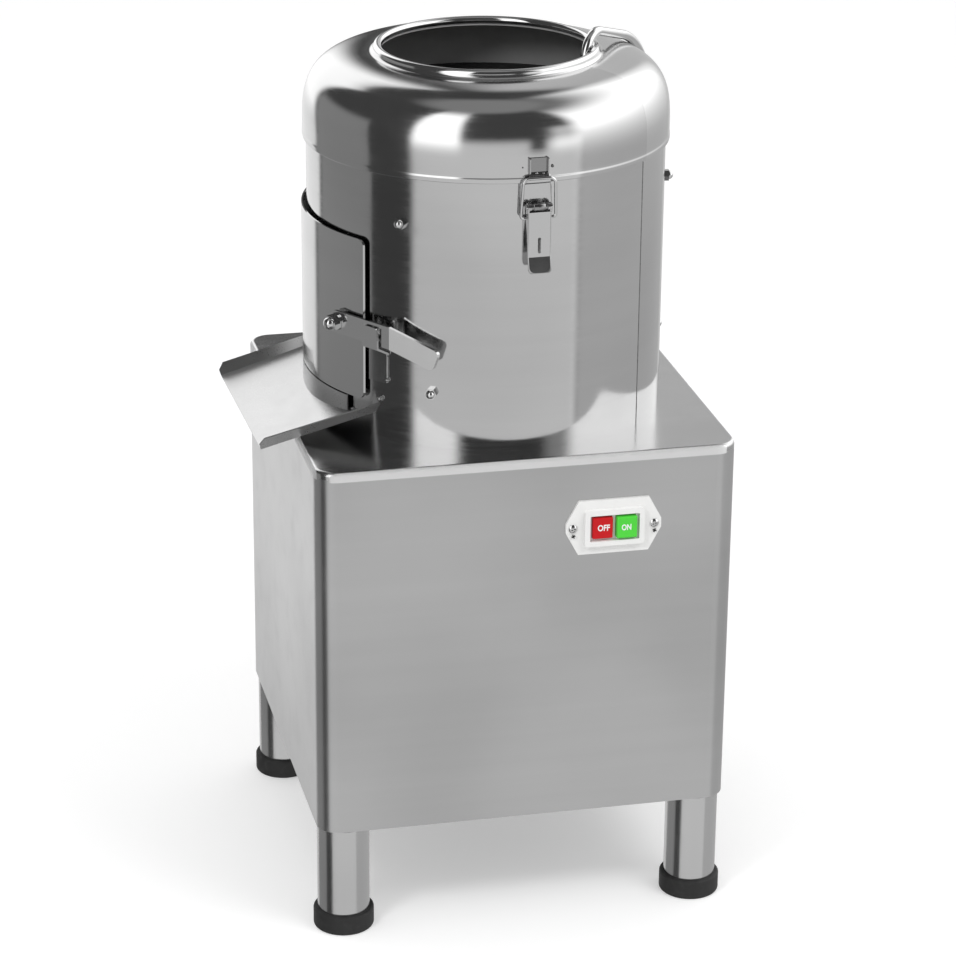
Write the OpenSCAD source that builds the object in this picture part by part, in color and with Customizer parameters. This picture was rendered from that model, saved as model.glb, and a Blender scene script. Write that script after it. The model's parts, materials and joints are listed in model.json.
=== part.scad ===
// Electric potato peeler: a belt-driven abrasive disc in a drum on a steel cabinet.
// The drum's axis is upright. The origin is on the floor, midway between the outermost points.

/* [Cabinet] */
// Width of the cabinet, side to side
base_w = 405; // [395:1:430]
// Depth of the cabinet, front to back
base_d = 400; // [390:1:430]
// Height of the cabinet's lower edge above the floor
base_bottom = 112; // [90:1:140]
// Height of the cabinet, from its lower edge to the top plate's upper face
base_h = 370; // [355:1:400]
// Outside radius of the cabinet's upright corners
corner_r = 22; // [16:1:26]
// Outside radius of the bend round the top plate
top_bend_r = 4; // [3:0.5:6]
// Depth of the top plate's turned-down rim below that bend
top_rim = 3; // [2:0.5:8]
// Thickness of the cabinet sheet
sheet_t = 1.5; // [1:0.1:2]
// Width of the flange turned in at the cabinet's lower edge
flange_w = 13; // [8:1:15]

/* [Legs] */
// Diameter of the leg tube
leg_d = 51; // [38:1:54]
// Wall of the leg tube
leg_wall = 1.5; // [1:0.1:3]
// Length of leg tube inside the cabinet
leg_inside = 90; // [60:5:120]
// Gap between a leg tube and the cabinet's walls, filled by weld
leg_gap = 0.4; // [0.2:0.1:1]
// Thickness of the rubber round the tube
foot_wall = 4; // [3:0.5:6]
// Height of the rubber foot
foot_h = 20; // [14:1:30]
// Thickness of rubber under the tube
foot_floor = 5; // [3:0.5:8]
// Rounding of the foot's edges
foot_round = 2.5; // [1:0.5:3]

/* [Drum] */
// Outside radius of the drum
drum_r = 171.7; // [165:0.1:178]
// Thickness of the drum wall
drum_t = 1.5; // [1:0.1:2]
// Height of the drum above the top plate
drum_h = 278; // [265:1:300]
// Thickness of the abrasive liner
liner_t = 3; // [2:0.5:4]
// Depth of the liner's upper edge below the drum's rim
liner_drop = 15; // [8:1:30]
// Thickness of the drum floor
floor_t = 2; // [1.5:0.5:3]
// Height of the collar round the shaft above the floor
collar_h = 8; // [4:1:9]
// Heights above the top plate of the lower and upper liner screws
screw_low_h = 54; // [40:1:80]
// Height of the upper liner screws above the top plate
screw_high_h = 215.5; // [190:0.5:235]
// Direction of the first lower liner screw, from the machine's right
screw_low_a = -119.3; // [-125:0.1:-115]
// Direction of the first upper liner screw
screw_high_a = -129.8; // [-134:0.1:-125]
// Number of liner screws at each height
screw_count = 3; // [2:1:4]
// Radius of a liner screw's shank
screw_r = 3; // [2.5:0.5:4]
// Radial clearance round a screw's shank
screw_clear = 0.1; // [0.05:0.05:0.3]

/* [Discharge door] */
// Half the width of the port in the drum
port_half_w = 88.5; // [80:0.5:92]
// Height of the port's lower edge above the top plate
port_low = 44; // [42:1:50]
// Height of the port's upper edge above the top plate
port_high = 180; // [160:1:186]
// Rounding of the port's corners
port_round = 10; // [4:1:16]
// How far the door laps over the port's lower edge
door_lap_low = 7.5; // [5:0.5:7.5]
// How far the door laps over the port's upper edge
door_lap_high = 13; // [8:1:20]
// How far the door laps over the port's sides
door_lap_side = 18.5; // [16:0.5:19]
// Rounding of the door's corners
door_round = 6; // [3:1:12]
// Gap between the drum and the door sheet
door_gap = 3.5; // [3:0.1:4.5]
// Thickness of the door sheet
door_t = 1.5; // [1:0.1:2]
// Gap between the abrasive pad on the door and the port's edge
pad_gap = 3; // [2.5:0.5:5]
// Distance of the hinge pin's centre from the drum's wall
hinge_out = 5.4; // [5.2:0.1:6.5]
// Direction of the hinge, from the machine's right
hinge_a = 140.2; // [139.6:0.1:140.6]
// Outside radius of the hinge knuckles
knuckle_r = 4; // [3.5:0.1:4.2]
// Radius of the hinge pin
hinge_pin_r = 2; // [1.5:0.1:2.4]
// Length of each hinge
hinge_len = 48; // [36:1:56]
// Heights of the two hinges' centres above the port's lower edge
hinge_first = 36; // [32:1:44]
// Distance between the two hinges' centres
hinge_pitch = 70; // [62:1:76]
// Running clearance of pins in their bores
run_clear = 0.05; // [0.03:0.01:0.1]
// Gap between neighbouring knuckles
knuckle_gap = 0.4; // [0.3:0.1:0.6]

/* [Door lever] */
// Direction that the lever's flat face looks in
lever_a = -146.1; // [-147:0.1:-145]
// Distance of the lever's inner face from the drum's wall, measured in that direction
lever_out = 7.2; // [6.8:0.1:8]
// Thickness of the lever bar
lever_t = 3; // [2:0.5:3]
// Height of the lever bar
lever_bar_h = 21.5; // [20:0.5:24]
// Height of the bar's middle above the top plate
lever_h = 107.6; // [100:0.1:112]
// Distance of the pivot to the left of the bar's tangent point
pivot_x = 21; // [18:0.5:24]
// Distance of the bend to the right of the bar's tangent point
bend_x = 49; // [46:0.5:54]
// Angle of the bend towards the drum
bend_a = 22.4; // [18:0.1:24]
// Slope of the hand grip below level
grip_slope = 20; // [10:1:24]
// Length of the hand grip
grip_len = 50; // [44:1:54]
// Rounding of the grip's corners
grip_round = 5; // [3:0.5:8]
// Radius of the pivot bolt
bolt_r = 4; // [3:0.5:5]

/* [Lever catch] */
// Distance of the catch's middle to the right of the bar's tangent point
catch_x = 26.5; // [25:0.5:29]
// Width of the catch
catch_w = 20; // [16:0.5:20]
// Thickness of the catch
catch_t = 2; // [1.5:0.5:2.5]
// Gap between the bar's outer face and the catch
catch_gap = 0.6; // [0.4:0.1:1]
// Depth of the catch's top below the bar's top
catch_drop = 3.9; // [3.5:0.1:6]
// Height of the catch's upright tab
catch_tab_h = 21; // [19:0.5:23]
// Slope of the shelf under the bar
shelf_slope = 29; // [20:1:34]
// Length of the leg that is welded to the drum
catch_leg = 27; // [18:1:32]
// Clearance of the notch in the bar round the catch
notch_clear = 1.2; // [1:0.1:1.8]
// Clearance of the notch above the catch
notch_rise = 0.5; // [0.4:0.1:1]

/* [Chute] */
// Reach of the chute from the drum's axis
chute_reach = 242.6; // [230:0.2:260]
// Height of the chute's outer edge below the top plate
chute_drop = 4.4; // [0:0.1:6]
// Slope of the chute's floor
chute_slope = 15.5; // [14:0.1:17]
// Turn of the chute from square
chute_turn = 1.5; // [0:0.1:2]
// Half the width of the chute at its outer edge
chute_half_w = 103; // [95:0.5:105]
// Half the width of the chute at the drum
chute_half_in = 107.5; // [103:0.5:108]
// Thickness of the chute sheet
chute_t = 1.5; // [1:0.1:2]
// Height of the chute's side flanges at the outer edge
side_h = 12; // [8:0.5:14]
// Height of the side flanges at the drum
side_in_h = 9; // [6:0.5:9]
// Outward lean of the side flanges
side_lean = 25; // [10:1:30]
// Height of the sill strip's top below the door's lower edge
sill_gap = 1.5; // [1:0.1:3]
// Half the angle that the sill strip covers
sill_half_a = 30; // [24:1:32]

/* [Hood] */
// Outside radius of the hood above its swaged edge
hood_r = 175; // [174.8:0.1:182]
// How much the lower edge is swaged out
swage = 1; // [0.5:0.1:1.5]
// Height of the swaged edge
swage_h = 5; // [3:0.5:7]
// Overlap of the hood over the drum
hood_lap = 18.3; // [12:0.1:22]
// Height of the hood, from its lower edge to the crown
hood_h = 79.7; // [74:0.1:90]
// Height of the hood's straight skirt
skirt_h = 9.3; // [9:0.1:16]
// Radius of the hood's flat crown
crown_r = 91.8; // [85:0.1:95]
// Squareness of the shoulder's curve
shoulder_n = 3.29; // [2.4:0.01:3.6]
// Thickness of the hood sheet
hood_t = 1.2; // [1:0.1:1.5]
// Radius of the feed mouth
mouth_r = 99.3; // [95:0.1:105]
// Diameter of the rolled bead round the mouth
bead_d = 8; // [6:0.5:10]
// Height of the rubber ring between hood and drum
seal_h = 4; // [3:0.5:6]
// Clearance between pieces that only rest on each other
rest_gap = 0.3; // [0.2:0.1:0.5]

/* [Water tube] */
// Outside diameter of the water tube
tube_d = 9.2; // [8:0.1:10]
// Wall of the water tube
tube_wall = 1; // [0.8:0.1:1.5]
// Gap along the tube's run between its inner leg and the mouth's edge
tube_in = 8.4; // [8.2:0.1:12]
// Direction of the tube's run over the hood, from the machine's right
tube_a = 48; // [46:0.5:50]
// Offset of that run in front of the drum's axis
tube_off = 86.3; // [85:0.1:87]
// Length of the leg that hangs inside the mouth
tube_leg = 38; // [24:1:60]
// Radius of the bend over the bead
tube_bend = 22.4; // [21.5:0.1:24]
// Depth of that bend's centre below the bead's top
tube_dip = 13.7; // [12.5:0.1:13.8]
// Slope of the run down the hood
tube_slope = 15.7; // [14:0.1:16.5]
// Length of that run
tube_run = 50; // [48:1:56]
// Radius of the bend round the hood's shoulder
shoulder_bend = 79; // [78:1:84]
// Length of the straight end outside the hood
tube_tail = 30; // [26:1:50]
// Length of the barbed hose tail
barb_len = 26; // [20:1:32]

/* [Toggle latches] */
// Direction of the front latch, from the machine's right
latch_a = -87.2; // [-92:0.1:-84]
// Height of the latch's lower end below the drum's rim
latch_low = 94; // [88:1:100]
// Length of the latch's base plate
latch_plate_h = 74; // [70:1:76]
// Width of the latch's base plate
latch_plate_w = 26.6; // [24:0.1:30]
// Thickness of the latch's sheet
latch_t = 1.2; // [1:0.1:1.4]
// Depth of the lever's pivot below the drum's rim
latch_pivot = 40; // [38:0.5:42]
// Distance of the lever's pivot from the drum's wall
latch_pivot_out = 7; // [6.8:0.1:8]
// Radius of the lever's pin
latch_pin_r = 1.5; // [1.2:0.1:1.8]
// Width of the latch's lever
latch_lever_w = 22; // [20:0.5:23]
// Length of the lever below its pivot
latch_lever_h = 62; // [54:1:66]
// Distance of the latch lever's face in front of its pivot
toggle_face = 3.4; // [3:0.1:4]
// Angle of the latch lever's bent end
toggle_bend = 14; // [6:1:20]
// Length of the latch lever's bent end
toggle_tip = 15; // [10:0.5:18]
// Depth of the bail's pivot below the lever's pivot
bail_drop = 11; // [9:0.5:12]
// Distance of the bail's pivot behind the lever's pivot
bail_back = 1.8; // [1:0.1:2]
// Diameter of the bail wire
bail_d = 3; // [2.5:0.1:3.2]
// Width of the bail between its arms' centres at the pivot
bail_w = 33; // [31:0.5:36]
// Height of the bail's top bar above its pivot
bail_h = 38; // [36:0.5:40]
// Inward lean of the bail's arms
bail_splay = 2.3; // [0:0.1:3]
// Radius of the bail's upper bends
bail_top_r = 6; // [4:0.5:8]
// Radius of the bail's lower bends
bail_foot_r = 3; // [2:0.5:4]
// Width of the keeper on the hood
keeper_w = 18.5; // [14:0.5:20]
// Height of the keeper
keeper_h = 19; // [14:0.5:22]

/* [Switch] */
// Distance of the switch from the cabinet's middle
switch_x = 80; // [40:1:100]
// Depth of the switch's centre below the top plate
switch_down = 72; // [60:1:120]
// Width of the switch plate, tip to tip
plate_w = 92.6; // [88:0.2:100]
// Height of the switch plate
plate_h = 54; // [50:1:60]
// Thickness of the switch plate
plate_t = 3; // [2:0.5:4]
// Width of the switch's raised frame
frame_w = 58; // [56:1:62]
// Height of the switch's raised frame
frame_h = 36; // [34:1:40]
// Height of the raised frame above the cabinet
frame_out = 8; // [7:0.5:10]
// Rim of the raised frame round its recess
frame_rim = 5; // [4:0.5:6]
// Width of a push button
button_w = 19.5; // [17:0.5:20]
// Height of a push button
button_h = 21; // [18:0.5:22]
// Distance between the two buttons' centres
button_pitch = 23; // [22:0.5:25]
// How far the stop button's face stands out from the cabinet
off_out = 7.5; // [6:0.5:8]
// How far the start button's face stands out from the cabinet
on_out = 10; // [9:0.5:12]
// Travel of a push button
button_travel = 3; // [2:0.5:3.5]
// Clearance of a button in its window
button_clear = 0.3; // [0.2:0.1:0.4]
// Distance between the switch plate's two screws
switch_screw_pitch = 79; // [74:1:81]
// Depth of the switch body behind the cabinet's wall
switch_depth = 46; // [40:1:60]

/* [Drive] */
// Radius of the main shaft
shaft_r = 12.5; // [10:0.5:14]
// Height of the disc's underside above the top plate
disc_low = 28; // [26:1:30]
// Thickness of the disc
disc_t = 8; // [6:1:10]
// Gap between the disc and the liner
disc_gap = 3.2; // [2:0.1:5]
// Height of the disc's raised ribs
rib_r = 6; // [4:0.5:6]
// Number of raised ribs on the disc
rib_count = 3; // [2:1:5]
// Height of the belt's middle above the cabinet's lower edge
belt_z = 123; // [115:1:130]
// Distance between the main shaft and the motor shaft
drive_c = 124.5; // [123:0.5:130]
// Belt radius on the main shaft's pulley
big_r = 86; // [80:1:88]
// Belt radius on the motor's pulley
small_r = 26; // [24:1:30]
// Height of the belt's section
belt_h = 7; // [5:0.5:8]
// Width of the belt at its middle
belt_w = 9.4; // [8:0.2:12]
// Taper of the belt's flank, per side
flank_a = 18; // [16:1:20]
// Clearance of the belt in its groove
belt_clear = 0.4; // [0.3:0.1:0.8]
// Width of a pulley
pulley_w = 20; // [18:1:22]
// Outside radius of the bearings
bearing_r = 26; // [24:0.5:30]
// Width of the bearings
bearing_w = 15; // [12:0.5:18]
// Length of the bearing housing below the top plate
housing_h = 160; // [120:1:170]
// Radius of the motor's body
motor_r = 62; // [55:1:64]
// Length of the motor's body
motor_h = 150; // [130:1:155]
// Radius of the motor's shaft
motor_shaft_r = 9.5; // [8:0.5:12]
// Thickness of the motor's mounting plate
mount_t = 8; // [6:1:10]

/* [Waste outlet and service side] */
// Outside radius of the waste pipe
waste_r = 24; // [20:1:26]
// Wall of the waste pipe
waste_wall = 1.5; // [1:0.1:3]
// Distance of the drain from the drum's axis towards the left
waste_x = 40; // [30:1:50]
// Distance of the drain from the drum's axis towards the back
waste_y = 118; // [110:1:125]
// Depth of the waste pipe's level part below the top plate
waste_down = 90; // [80:1:110]
// How far the waste pipe stands out behind the cabinet
waste_out = 45; // [30:1:60]
// Thickness of the collar on the waste pipe, outside the cabinet
collar_t = 4.6; // [3:0.1:6]
// Radius of the waste pipe's bend
waste_bend = 36; // [34:1:42]
// Width of the window behind the service panel
window_w = 270; // [240:1:280]
// Height of the window behind the service panel
window_h = 200; // [160:1:220]
// How far the service panel laps over the window
panel_lap = 14; // [10:1:18]
// Height of the window above the cabinet's lower edge
window_up = 30; // [24:1:50]
// Number of louvres in the service panel
louvre_count = 7; // [4:1:9]
// Length of a louvre
louvre_len = 90; // [60:1:100]
// Radius of the cable gland's thread
gland_r = 10; // [8:0.5:12]

/* [Hidden] */
$fn = 96;
steel = "silver";
cut = 1; // how far a cutting shape runs past the face it opens
joint = 0.2; // how far a straight piece of wire, tube or belt runs into its bends
joint_step = 0.03; // how much thinner than the bends it is
big = 600; // longer than any piece, for cuts that go right through
base_top = base_bottom + base_h;
drum_top = base_top + drum_h;
drum_in = drum_r - drum_t;
liner_in = drum_in - liner_t;
leg_x = base_w / 2 - sheet_t - leg_gap - leg_d / 2;
leg_y = base_d / 2 - sheet_t - leg_gap - leg_d / 2;
wall_top = base_top - top_bend_r - top_rim;
under_top = base_top - sheet_t;
floor_top = base_top + floor_t;
disc_z = base_top + disc_low;
disc_top = disc_z + disc_t;
disc_r = liner_in - disc_gap;
port_z = base_top + port_low;
port_top = base_top + port_high;
door_z = port_z - door_lap_low;
door_top = port_top + door_lap_high;
door_half_w = port_half_w + door_lap_side;
door_in = drum_r + door_gap;
door_out = door_in + door_t;
hinge_r = drum_r + hinge_out;
hinge_z = [port_z + hinge_first, port_z + hinge_first + hinge_pitch];
knuckle_len = (hinge_len - 2 * knuckle_gap) / 3;
lever_in = drum_r + lever_out;
lever_face = lever_in + lever_t;
lever_z = base_top + lever_h;
catch_in = lever_face + catch_gap;
catch_face = catch_in + catch_t;
catch_top = lever_z + lever_bar_h / 2 - catch_drop;
chute_z = base_top - chute_drop;
chute_len = (chute_reach - drum_r + 54) / cos(chute_slope);
chute_taper = atan((chute_half_in - chute_half_w) / (chute_reach - drum_r + 38));
hood_z = drum_top - hood_lap;
crown_z = hood_z + hood_h;
bead_r = bead_d / 2;
bead_z = crown_z + bead_r - 0.35;
bead_top = bead_z + bead_r;
latch_z = drum_top - latch_pivot;
rear_latch_a = latch_a + 180;
bail_z = latch_z - bail_drop;
toggle_bend_z = toggle_tip - latch_lever_h;
bail_out = latch_pivot_out - bail_back;
bar_out = hood_r + swage - drum_r + 0.4 + latch_t + 0.5 + bail_d / 2;
switch_z = base_top - switch_down;
front = -base_d / 2;
belt_mid = base_bottom + belt_z;
motor_x = drive_c * cos(45);
motor_y = drive_c * sin(45);
mount_z = belt_mid + pulley_w / 2 + 10;
motor_z = mount_z + mount_t;
motor_top = motor_z + motor_h;
waste_z = base_top - waste_down;
waste_gap = 0.4; // between the cabinet's back and the collar on the waste pipe
collar_rim = 6; // how far that collar stands out from the pipe
window_z = base_bottom + window_up;
chute_far = chute_reach * cos(chute_turn) + chute_half_w * sin(chute_turn);
foot_edge = leg_x + leg_d / 2 + foot_wall;
mid_x = (max(foot_edge, base_w / 2) - chute_far) / 2;
mid_y = (base_d / 2 + waste_out - base_d / 2 - on_out) / 2;

// ---- shared shapes ----

// Puts the drum's axis at its place beside the origin.
module on_axis() {
  translate([-mid_x, -mid_y, 0]) children();
}

// Turns to a direction round the drum and moves out: X runs to the right, -Y points outwards.
module facing(a, r = drum_r) {
  rotate([0, 0, a + 90]) translate([0, -r, 0]) children();
}

module rounded(w, h, r) {
  square([w - 2 * r, h], center = true);
  square([w, h - 2 * r], center = true);
  for (x = [-1, 1], y = [-1, 1])
    translate([x * (w / 2 - r), y * (h / 2 - r)]) circle(r);
}

module ring(r_out, r_in, z0, z1) {
  rotate_extrude() translate([r_in, z0]) square([r_out - r_in, z1 - z0]);
}

module arc_strip(r_in, r_out, z0, z1, a0, a1) {
  rotate([0, 0, a0])
    rotate_extrude(angle = a1 - a0) translate([r_in, z0]) square([r_out - r_in, z1 - z0]);
}

// A round rod from one point to another, with domed ends.
module rod(p, q, d) {
  v = q - p;
  translate(p) sphere(d = d);
  translate(q) sphere(d = d);
  translate(p) rotate([0, acos(v[2] / norm(v)), atan2(v[1], v[0])]) cylinder(h = norm(v), d = d);
}

// A window through the drum's left side: a block with rounded corners that runs along X.
module port_block(half_w, z0, z1, r) {
  translate([-big / 2, 0, (z0 + z1) / 2])
    rotate([90, 0, 90]) linear_extrude(big / 2) rounded(2 * half_w, z1 - z0, r);
}

module cabinet_outline(inset) {
  rounded(base_w - 2 * inset, base_d - 2 * inset, corner_r - inset);
}

module at_corners(x, y) {
  for (sx = [-1, 1], sy = [-1, 1]) translate([sx * x, sy * y, 0]) children();
}

// Runs a profile round the cabinet's edge; x = 0 is the centre of the corner's rounding.
module round_edge() {
  span_x = base_w - 2 * corner_r;
  span_y = base_d - 2 * corner_r;
  for (q = [0:3])
    rotate([0, 0, 90 * q])
      translate([(q % 2 == 0 ? span_x : span_y) / 2, (q % 2 == 0 ? span_y : span_x) / 2, 0])
        rotate_extrude(angle = 90) children();
  for (q = [0:3])
    rotate([0, 0, 90 * q])
      translate([(q % 2 == 0 ? span_x : span_y) / 2, (q % 2 == 0 ? span_y : span_x) / 2, 0])
        rotate([90, 0, 0]) linear_extrude(q % 2 == 0 ? span_y : span_x) children();
}

// A bend of round bar or tube, about an axis along Y: angle 0 points along X, 90 along Z.
module bend(x, z, bend_r, a0, a1, r) {
  translate([x, 0, z]) rotate([90, 0, 0]) rotate([0, 0, a0])
    rotate_extrude(angle = a1 - a0) translate([bend_r, 0]) circle(r);
}

// A straight piece between two bends: it runs a little way into both, a hair thinner.
module straight(x, z, a, len, r, reach = joint) {
  translate([x, 0, z]) rotate([0, 90 - a, 0])
    translate([0, 0, -joint]) cylinder(r = r - joint_step, h = len + joint + reach);
}

// ---- cabinet ----

module switch_place() {
  translate([switch_x, front, switch_z]) rotate([90, 0, 0]) children();
}

module panel_screw_places() {
  x = window_w / 2 + panel_lap / 2;
  z = window_h / 2 + panel_lap / 2;
  for (p = [[-x, -z], [0, -z], [x, -z], [-x, z], [0, z], [x, z]])
    translate([p[0], base_d / 2, window_z + window_h / 2 + p[1]]) rotate([-90, 0, 0]) children();
}

module base_shell() {
  color(steel) on_axis() difference() {
    union() {
      translate([0, 0, base_bottom]) linear_extrude(wall_top - base_bottom) difference() {
        cabinet_outline(0);
        cabinet_outline(sheet_t);
      }
      translate([0, 0, base_bottom]) linear_extrude(sheet_t) difference() {
        cabinet_outline(0);
        cabinet_outline(flange_w);
      }
    }
    at_corners(leg_x, leg_y) translate([0, 0, base_bottom - cut]) cylinder(d = leg_d, h = 20);
    switch_place() translate([0, 0, -5]) linear_extrude(10)
      rounded(frame_w - 4, frame_h - 4, 2);
    switch_place() for (x = [-1, 1])
      translate([x * switch_screw_pitch / 2, 0, -5]) cylinder(r = 2.1, h = 10);
    translate([0, base_d / 2, window_z + window_h / 2])
      rotate([90, 0, 0]) linear_extrude(10, center = true) rounded(window_w, window_h, 8);
    panel_screw_places() translate([0, 0, -5]) cylinder(r = 2.1, h = 10);
    translate([-waste_x, base_d / 2, waste_z])
      rotate([90, 0, 0]) cylinder(r = waste_r + 0.1, h = 10, center = true);
    gland_place() cylinder(r = gland_r + 0.1, h = 10, center = true);
  }
}

module top_plate() {
  color(steel) on_axis() difference() {
    union() {
      translate([-base_w / 2 + corner_r, -base_d / 2 + corner_r, under_top])
        cube([base_w - 2 * corner_r, base_d - 2 * corner_r, sheet_t]);
      round_edge() translate([0, wall_top]) top_profile();
    }
    translate([0, 0, under_top - cut]) cylinder(r = shaft_r + 6, h = sheet_t + 2 * cut);
    translate([-waste_x, waste_y, under_top - cut])
      cylinder(r = waste_r + 0.1, h = sheet_t + 2 * cut);
  }
}

// The top plate's edge: flat, a quarter bend and the turned-down rim.
module top_profile() {
  h = base_top - wall_top;
  translate([0, h - sheet_t]) square([corner_r - top_bend_r, sheet_t]);
  translate([corner_r - sheet_t, 0]) square([sheet_t, top_rim]);
  translate([corner_r - top_bend_r, h - top_bend_r]) intersection() {
    difference() {
      circle(top_bend_r);
      circle(top_bend_r - sheet_t);
    }
    square(top_bend_r);
  }
}

module louvre() {
  difference() {
    rotate([0, 90, 0]) cylinder(r = 7, h = louvre_len, center = true);
    rotate([0, 90, 0]) cylinder(r = 5.8, h = louvre_len - 2.4, center = true);
    translate([0, 0, -10]) cube([louvre_len + 2, 30, 20], center = true);
    translate([0, -10, 0]) cube([louvre_len + 2, 20, 30], center = true);
  }
}

module rear_panel() {
  pitch = (window_h - 20) / louvre_count;
  color(steel) on_axis() translate([0, base_d / 2, 0]) {
    difference() {
      translate([0, 1.2, window_z + window_h / 2]) rotate([90, 0, 0])
        linear_extrude(1.2) rounded(window_w + 2 * panel_lap, window_h + 2 * panel_lap, 6);
      for (i = [0:louvre_count - 1], x = [-1, 1])
        translate([x * window_w / 4, 0, window_z + 13 + pitch * i + 2.9])
          cube([louvre_len - 2.4, 6, 5.8], center = true);
      translate([0, -base_d / 2, 0]) panel_screw_places()
        translate([0, 0, -5]) cylinder(r = 2.1, h = 10);
    }
    for (i = [0:louvre_count - 1], x = [-1, 1])
      translate([x * window_w / 4, 1.2, window_z + 13 + pitch * i]) louvre();
  }
}

module rear_panel_screws() {
  color(steel) on_axis() panel_screw_places() {
    translate([0, 0, 1.2]) intersection() {
      cylinder(r = 4, h = 3);
      translate([0, 0, -3.6]) sphere(r = 6);
    }
    translate([0, 0, -8]) cylinder(r = 2, h = 9.2);
  }
}

module legs() {
  color(steel) on_axis() at_corners(leg_x, leg_y)
    ring(leg_d / 2, leg_d / 2 - leg_wall, foot_floor, base_bottom + leg_inside);
}

module foot_profile() {
  r = leg_d / 2 + foot_wall;
  difference() {
    union() {
      square([r - foot_round, foot_h]);
      translate([0, foot_round]) square([r, foot_h - 2 * foot_round]);
      for (z = [foot_round, foot_h - foot_round])
        translate([r - foot_round, z]) circle(foot_round, $fn = 48);
    }
    translate([-cut, foot_floor]) square([leg_d / 2 + cut, foot_h]);
    translate([-big, -cut]) square([big, foot_h + 2 * cut]);
  }
}

module feet() {
  color("black") on_axis() at_corners(leg_x, leg_y) rotate_extrude() foot_profile();
}

// ---- drum ----

module liner_screw_places() {
  for (i = [0:screw_count - 1]) {
    facing(screw_low_a + 360 / screw_count * i, 0)
      translate([0, 0, base_top + screw_low_h]) rotate([90, 0, 0]) children();
    facing(screw_high_a + 360 / screw_count * i, 0)
      translate([0, 0, base_top + screw_high_h]) rotate([90, 0, 0]) children();
  }
}

module liner_screw_holes() {
  liner_screw_places()
    translate([0, 0, liner_in - 5]) cylinder(r = screw_r + screw_clear, h = drum_t + liner_t + 10);
}

module drum_shell() {
  color(steel) on_axis() difference() {
    ring(drum_r, drum_in, base_top, drum_top);
    port_block(port_half_w, port_z, port_top, port_round);
    liner_screw_holes();
  }
}

module drum_floor() {
  color(steel) on_axis() difference() {
    union() {
      translate([0, 0, base_top]) cylinder(r = drum_in, h = floor_t);
      translate([0, 0, base_top]) cylinder(r = shaft_r + 9, h = floor_t + collar_h);
    }
    translate([0, 0, base_top - cut]) cylinder(r = shaft_r + 6, h = 40);
    translate([-waste_x, waste_y, base_top - cut]) cylinder(r = waste_r + 0.1, h = 10);
  }
}

module wall_liner() {
  color("dimgray") on_axis() difference() {
    ring(drum_in, liner_in, floor_top, drum_top - liner_drop);
    port_block(port_half_w, port_z, port_top, port_round);
    liner_screw_holes();
  }
}

module liner_screws() {
  color(steel) on_axis() liner_screw_places() {
    translate([0, 0, liner_in - 1.6]) cylinder(r = 6, h = 1.5);
    translate([0, 0, liner_in - 1]) cylinder(r = screw_r, h = drum_t + liner_t + 8);
    translate([0, 0, drum_r]) cylinder(r = 5.8, h = 5, $fn = 6);
    translate([0, 0, drum_r + 5]) sphere(r = 4.2);
  }
}

// ---- discharge door and its lever ----

module door_panel() {
  color(steel) on_axis() difference() {
    intersection() {
      ring(door_out, door_in, door_z, door_top);
      port_block(door_half_w, door_z, door_top, door_round);
    }
    lever_frame() pivot_place() cylinder(r = bolt_r + 0.02, h = 40, center = true);
  }
}

module door_pad() {
  color("dimgray") on_axis() difference() {
    intersection() {
      ring(door_in, liner_in, port_z, port_top);
      port_block(port_half_w - pad_gap, port_z + pad_gap, port_top - pad_gap, port_round);
    }
    lever_frame() pivot_place() cylinder(r = bolt_r + 2, h = 60, center = true);
  }
}

module hinge_place() {
  rotate([0, 0, hinge_a]) translate([hinge_r, 0, 0]) children();
}

module knuckle(z0) {
  translate([0, 0, z0]) difference() {
    cylinder(r = knuckle_r, h = knuckle_len);
    translate([0, 0, -cut]) cylinder(r = hinge_pin_r + run_clear, h = knuckle_len + 2 * cut);
  }
}

module pin_way() {
  hinge_place() cylinder(r = hinge_pin_r + run_clear, h = drum_top);
}

module hinge_fixed_leaves() {
  color(steel) on_axis() for (z = hinge_z) {
    for (side = [-1, 1])
      hinge_place() knuckle(z + side * (knuckle_len + knuckle_gap) - knuckle_len / 2);
    difference() {
      for (side = [-1, 1]) {
        z0 = z + side * (knuckle_len + knuckle_gap) - knuckle_len / 2;
        arc_strip(drum_r, drum_r + 2.4, z0, z0 + knuckle_len, hinge_a - 1.6, hinge_a);
      }
      pin_way();
    }
    arc_strip(drum_r, drum_r + 1.5, z - hinge_len / 2, z + hinge_len / 2,
      hinge_a - 8, hinge_a - 1.5);
  }
}

module hinge_pins() {
  color(steel) on_axis() hinge_place() for (z = hinge_z) {
    translate([0, 0, z - hinge_len / 2 - 1]) cylinder(r = hinge_pin_r, h = hinge_len + 2);
    translate([0, 0, z + hinge_len / 2 + 0.2]) cylinder(r = hinge_pin_r + 1, h = 1.2);
    translate([0, 0, z - hinge_len / 2 - 1.4]) cylinder(r = hinge_pin_r + 1, h = 1.2);
  }
}

module hinge_moving_leaves() {
  color(steel) on_axis() for (z = hinge_z) {
    z0 = z - knuckle_len / 2;
    hinge_place() knuckle(z0);
    difference() {
      arc_strip(door_out, door_out + 1.5, z0, z0 + knuckle_len, hinge_a, hinge_a + 9);
      pin_way();
    }
  }
}

module lever_frame() {
  facing(lever_a, 0) translate([0, 0, lever_z]) children();
}

// The pivot's axis, with Z pointing outwards.
module pivot_place() {
  translate([-pivot_x, -lever_in, 0]) rotate([90, 0, 0]) children();
}

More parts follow.
